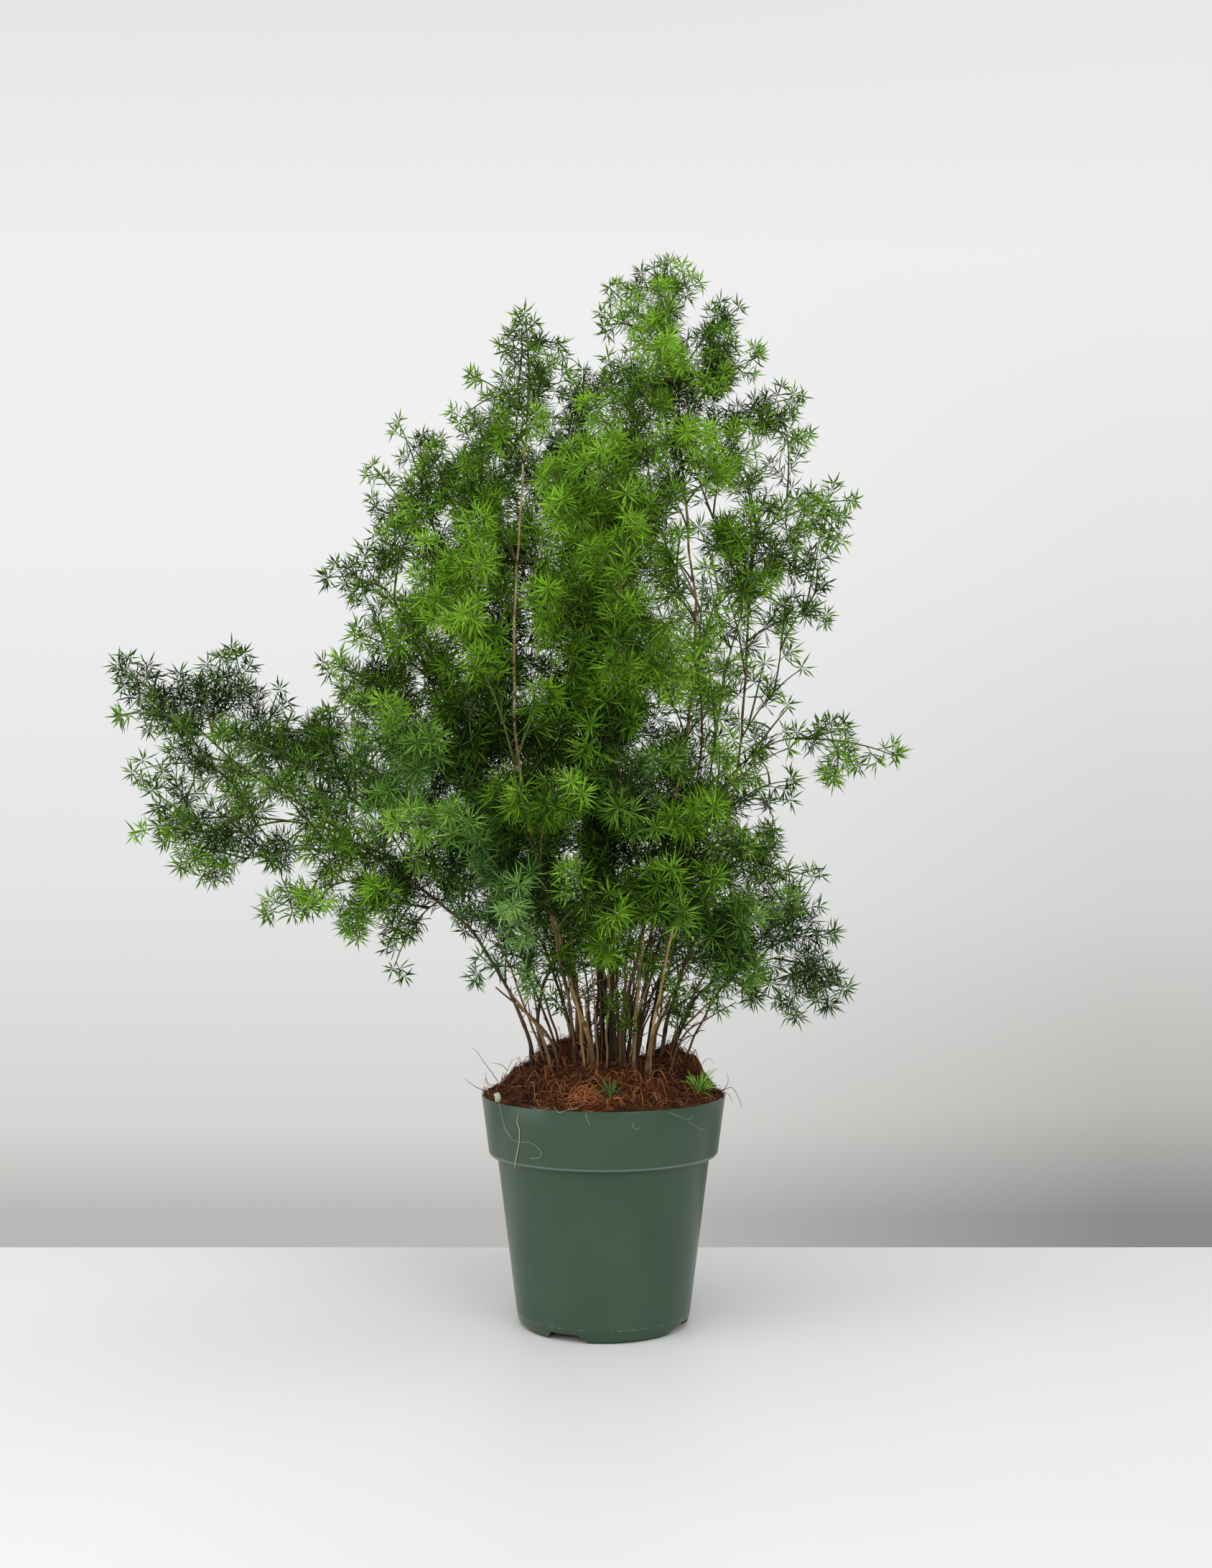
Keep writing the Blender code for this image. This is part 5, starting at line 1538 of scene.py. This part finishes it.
class FERN_OT_needles(bpy.types.Operator):
    """Grows the branches, twigs and needle tufts of every stem"""

    bl_idname = "ming_fern.needles"
    bl_label = "Twigs and needles"

    def execute(self, context):
        settings = context.scene.ming_fern
        skin, leaf = waxy_green_twig(settings.stems), living_fern_needle(settings.needles)
        branches = all_branches(settings.needles)
        growths = {}
        for name, paths in branches.items():
            growths[name] = Growth(name, settings.needles)
            # How young the growth is differs a little from stem to stem.
            base = 0.27 + random.Random(f"youth {name}").uniform(-0.05, 0.07)
            for path in paths:
                growths[name].branch(path, base)
            self.cover_stem(growths[name], name, base)
        buried = buried_share([tuft for growth in growths.values() for tuft in growth.tufts])
        first = 0
        for name, growth in growths.items():
            last = first + len(growth.tufts)
            growth.twigs.build(f"twigs_{name}", skin, "fern_needles", [f"leafy_{name}"])
            growth.needles(name, leaf, buried[first:last])
            first = last
        return {"FINISHED"}

    def cover_stem(self, growth, name, base):
        """Short twigs straight off the stem, except where the stem stands clear of its foliage."""
        low, high = BARE_SPANS.get(name, (0, 0))
        route = smooth_route(in_metres(STEMS[name][3]), 6 * MM)
        # The parts of the stem below and above its bare span.
        pieces = [[], []]
        for point in route:
            z = point.z / MM
            if z > STEMS[name][1] and not low < z < high:
                pieces[z > low].append(point)
        for piece in pieces:
            if len(piece) > 3:
                growth.branch(piece, base, first=0.02, radius=0.5)


class FERN_OT_seedlings(bpy.types.Operator):
    """Builds the two seedlings that stand in the coir"""

    bl_idname = "ming_fern.seedlings"
    bl_label = "Seedlings"

    def execute(self, context):
        coir, pot = context.scene.ming_fern.coir, context.scene.ming_fern.pot
        material = tender_seedling_leaf()
        # Each seedling's place, number of leaves, their length, how young it is, and its slot.
        for name, x, y, count, length, youth, slot in (
            ("seedling_bright", 58, -31, 44, 14, 0.88, "seedling_leaf"),
            ("seedling_dark", 4, -56, 20, 9, 0.45, "fern_needles"),
        ):
            draw = random.Random(name)
            strands = Strands()
            ground = coir_height(x * MM, y * MM, coir, pot)
            for k in range(count):
                angle = k * TWIG_TURN + draw.uniform(-0.3, 0.3)
                rise = draw.uniform(-0.15, 2.6)
                out = Vector((math.cos(angle), math.sin(angle), 0))
                root = Vector((x * MM, y * MM, ground + draw.uniform(0, 6) * MM))
                root += out * draw.uniform(0.5, 3) * MM
                way = (out + UP * rise).normalized()
                reach = length * MM * draw.uniform(0.65, 1.1)
                sag = UP * -0.12 * reach
                leaf = [
                    root, root + way * reach * 0.4, root + way * reach * 0.75 + sag * 0.35,
                    root + way * reach + sag,
                ]
                strands.tube(leaf, np.array([0.2, 0.3, 0.25, 0.1]) * MM, 4, youth + draw.uniform(-0.22, 0.12))
            foot = Vector((x * MM, y * MM, ground - 4 * MM))
            stalk = [foot, foot + UP * 5 * MM, foot + UP * 11 * MM]
            strands.tube(stalk, np.array([1.1, 1.0, 0.5]) * MM, 6, youth * 0.6)
            strands.build(f"{name}_leaves", material, slot, [name])
        return {"FINISHED"}


class FERN_OT_strays(bpy.types.Operator):
    """Builds the loose things on the pot: a straw, pale hairs, dark stray roots and a pale flake"""

    bl_idname = "ming_fern.strays"
    bl_label = "Straw, hairs and flake"

    def execute(self, context):
        pot = context.scene.ming_fern.pot
        self.flake()
        straw, hairs, roots = Strands(), Strands(), Strands()
        straw.tube(self.on_pot(pot, STRAW), np.array([0.15, 0.28, 0.32, 0.3, 0.34, 0.22]) * MM, 5, 0.6)
        for points in HAIRS:
            hairs.tube(self.on_pot(pot, points), 0.12 * MM, 3, 0.5)
        for points in STRAY_ROOTS:
            roots.tube(smooth_route(in_metres(points), 3 * MM), np.array([0.24, 0.1]) * MM, 4, 0.2)
        straw.build("straw", dry_straw(), "root_skin")
        hairs.build("pale_hairs", pale_root_hair(), "root_skin")
        roots.build("dark_stray_roots", dark_dry_root(), "root_skin")
        return {"FINISHED"}

    def flake(self):
        """A split end of dead stalk, 10 mm long, that leans on the rim at the left."""
        work = bmesh.new()
        bmesh.ops.create_cube(work, size=1)
        bmesh.ops.subdivide_edges(work, edges=work.edges, cuts=3, use_grid_fill=True)
        for vert in work.verts:
            x, y, z = vert.co
            vert.co = Vector((x * 3.4 * (1.15 - 0.35 * z) + 0.5 * math.sin(z * 5), y * 1.1, z * 10)) * MM
        mesh = mesh_of(work, "pale_flake")
        mesh.transform(Matrix.Translation((-0.0635, -0.0365, 0.1425)) @ Matrix.Rotation(-0.32, 4, "Y"))
        mesh.attributes.new("tone", "FLOAT", "POINT").data.foreach_set("value", [0.5] * len(mesh.vertices))
        mesh.shade_smooth()
        dressed("pale_flake", mesh, dry_pale_stalk(), "root_skin")

    def on_pot(self, pot, points):
        """Seen x and z places, in millimetres, laid 0.2 mm off the front of the collar. The depth of
        each is found in a few steps, since the place at which it is seen depends on it."""
        found = []
        for x, z in points:
            y = -60.0
            for _ in range(12):
                real_x, _, real_z = at_depth(x, y, z)
                share = (real_z * MM - pot.collar_base) / (pot.height - pot.collar_base)
                collar = pot.collar_radius + (pot.rim_radius - pot.collar_radius) * max(0.05, share)
                y = -math.sqrt(max(1.0, (collar / MM + 0.2) ** 2 - real_x ** 2))
            found.append(Vector((real_x, y, real_z)) * MM)
        return smooth_route(found, 1.5 * MM)


class FERN_OT_stage(bpy.types.Operator):
    """Sets the white table, the pale backdrop, the soft lights and the camera"""

    bl_idname = "ming_fern.stage"
    bl_label = "Studio"

    def execute(self, context):
        scene, stage = context.scene, context.scene.ming_fern.stage
        scene.view_settings.view_transform = "Standard"
        camera = bpy.data.cameras.new("photo_camera")
        camera.sensor_width = SENSOR
        camera.lens = SENSOR * FOCAL_LENGTH / PHOTO_HEIGHT
        camera.shift_x = MIDDLE_RIGHT / PHOTO_HEIGHT
        camera.shift_y = MIDDLE_UP / PHOTO_HEIGHT
        camera.clip_start = 0.01
        eye = bpy.data.objects.new("photo_camera", camera)
        eye.location = (0, -VIEW_DISTANCE * MM, VIEW_HEIGHT * MM)
        eye.rotation_euler = (math.pi / 2, 0, 0)
        scene.collection.objects.link(eye)
        scene.camera = eye
        self.table(scene, stage)
        self.backdrop(scene)
        world = bpy.data.worlds.new("studio_air")
        world.use_nodes = True
        air = world.node_tree.nodes["Background"]
        air.inputs["Color"].default_value = linear("#F4F5F7")
        air.inputs["Strength"].default_value = 0.5
        scene.world = world
        # Each light's place, the point it faces, its width in metres and its power.
        for name, place, target, size, watts in (
            ("key", (-0.7, -1.4, 1.5), (0, 0, 0.3), 2.2, 18),
            ("fill", (1.0, -1.5, 0.9), (0, 0, 0.1), 1.2, 11),
            ("top", (0, -0.1, 1.9), (0, 0, 0.2), 1.6, 6),
            ("left wall", (-1.5, -0.5, 0.5), (0, 0, 0.15), 1.0, 6),
            ("right wall", (1.6, 0.8, 0.4), (0, 0, 0.2), 0.8, 1),
        ):
            light = bpy.data.lights.new(name, "AREA")
            light.size = size
            light.energy = watts
            lamp = bpy.data.objects.new(name, light)
            lamp.location = place
            lamp.rotation_euler = (Vector(target) - Vector(place)).to_track_quat("-Z", "Y").to_euler()
            scene.collection.objects.link(lamp)
        return {"FINISHED"}

    def table(self, scene, stage):
        """A painted white board, its back edge a little behind the pot."""
        width, depth, thickness = 8, 6, 0.03
        work = bmesh.new()
        bmesh.ops.create_cube(work, size=1)
        for vert in work.verts:
            x, y, z = vert.co
            vert.co = Vector((x * width, -depth / 2 + stage.table_back + y * depth, (z - 0.5) * thickness))
        bmesh.ops.bevel(
            work, geom=list(work.edges), offset=1 * MM, segments=2, affect="EDGES", profile=0.5,
        )
        self.stand(scene, "table", mesh_of(work, "table"), painted_white_board(stage))

    def backdrop(self, scene):
        """A sheet of paper 1.6 m behind the pot that glows with painted light but throws no light on it."""
        work = bmesh.new()
        bmesh.ops.create_grid(work, x_segments=1, y_segments=1, size=1)
        for vert in work.verts:
            vert.co = Vector((vert.co.x * 1.9, 1.6, 0.6 + vert.co.y * 3))
        sheet = self.stand(scene, "backdrop", mesh_of(work, "backdrop"), paper_backdrop())
        sheet.visible_diffuse = False

    def stand(self, scene, name, mesh, material):
        """Puts a piece of the studio in the scene."""
        mesh.materials.append(material)
        piece = bpy.data.objects.new(name, mesh)
        scene.collection.objects.link(piece)
        piece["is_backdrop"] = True
        return piece


class FERN_PT_panel(bpy.types.Panel):
    """Lists the pieces of the potted fern and their sizes"""

    bl_idname = "FERN_PT_panel"
    bl_label = "Ming fern"
    bl_space_type = "VIEW_3D"
    bl_region_type = "UI"
    bl_category = "Ming fern"

    def draw(self, context):
        settings = context.scene.ming_fern
        for group, operators in (
            ("pot", ("ming_fern.pot", "ming_fern.strays")),
            ("coir", ("ming_fern.coir", "ming_fern.roots", "ming_fern.seedlings")),
            ("stems", ("ming_fern.stems", "ming_fern.dead_stems")),
            ("needles", ("ming_fern.needles",)),
            ("stage", ("ming_fern.stage",)),
        ):
            box = self.layout.box()
            for operator in operators:
                box.operator(operator)
            values = getattr(settings, group)
            for key in values.bl_rna.properties.keys():
                if key not in ("rna_type", "name"):
                    box.prop(values, key)


CLASSES = (
    PotSettings, CoirSettings, StemSettings, NeedleSettings, StageSettings, FernSettings,
    FERN_OT_pot, FERN_OT_coir, FERN_OT_roots, FERN_OT_stems, FERN_OT_dead_stems, FERN_OT_needles,
    FERN_OT_seedlings, FERN_OT_strays, FERN_OT_stage, FERN_PT_panel,
)


def register():
    for cls in CLASSES:
        bpy.utils.register_class(cls)
    bpy.types.Scene.ming_fern = PointerProperty(type=FernSettings)


def unregister():
    del bpy.types.Scene.ming_fern
    for cls in reversed(CLASSES):
        bpy.utils.unregister_class(cls)


def main():
    register()
    for operator in (
        bpy.ops.ming_fern.stage, bpy.ops.ming_fern.pot, bpy.ops.ming_fern.coir, bpy.ops.ming_fern.roots,
        bpy.ops.ming_fern.stems, bpy.ops.ming_fern.dead_stems, bpy.ops.ming_fern.needles,
        bpy.ops.ming_fern.seedlings, bpy.ops.ming_fern.strays,
    ):
        operator()
    boxes = [[list(corner) for corner in box] for box in (CAD_BOX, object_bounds())]


if __name__ == "__main__":
    main()
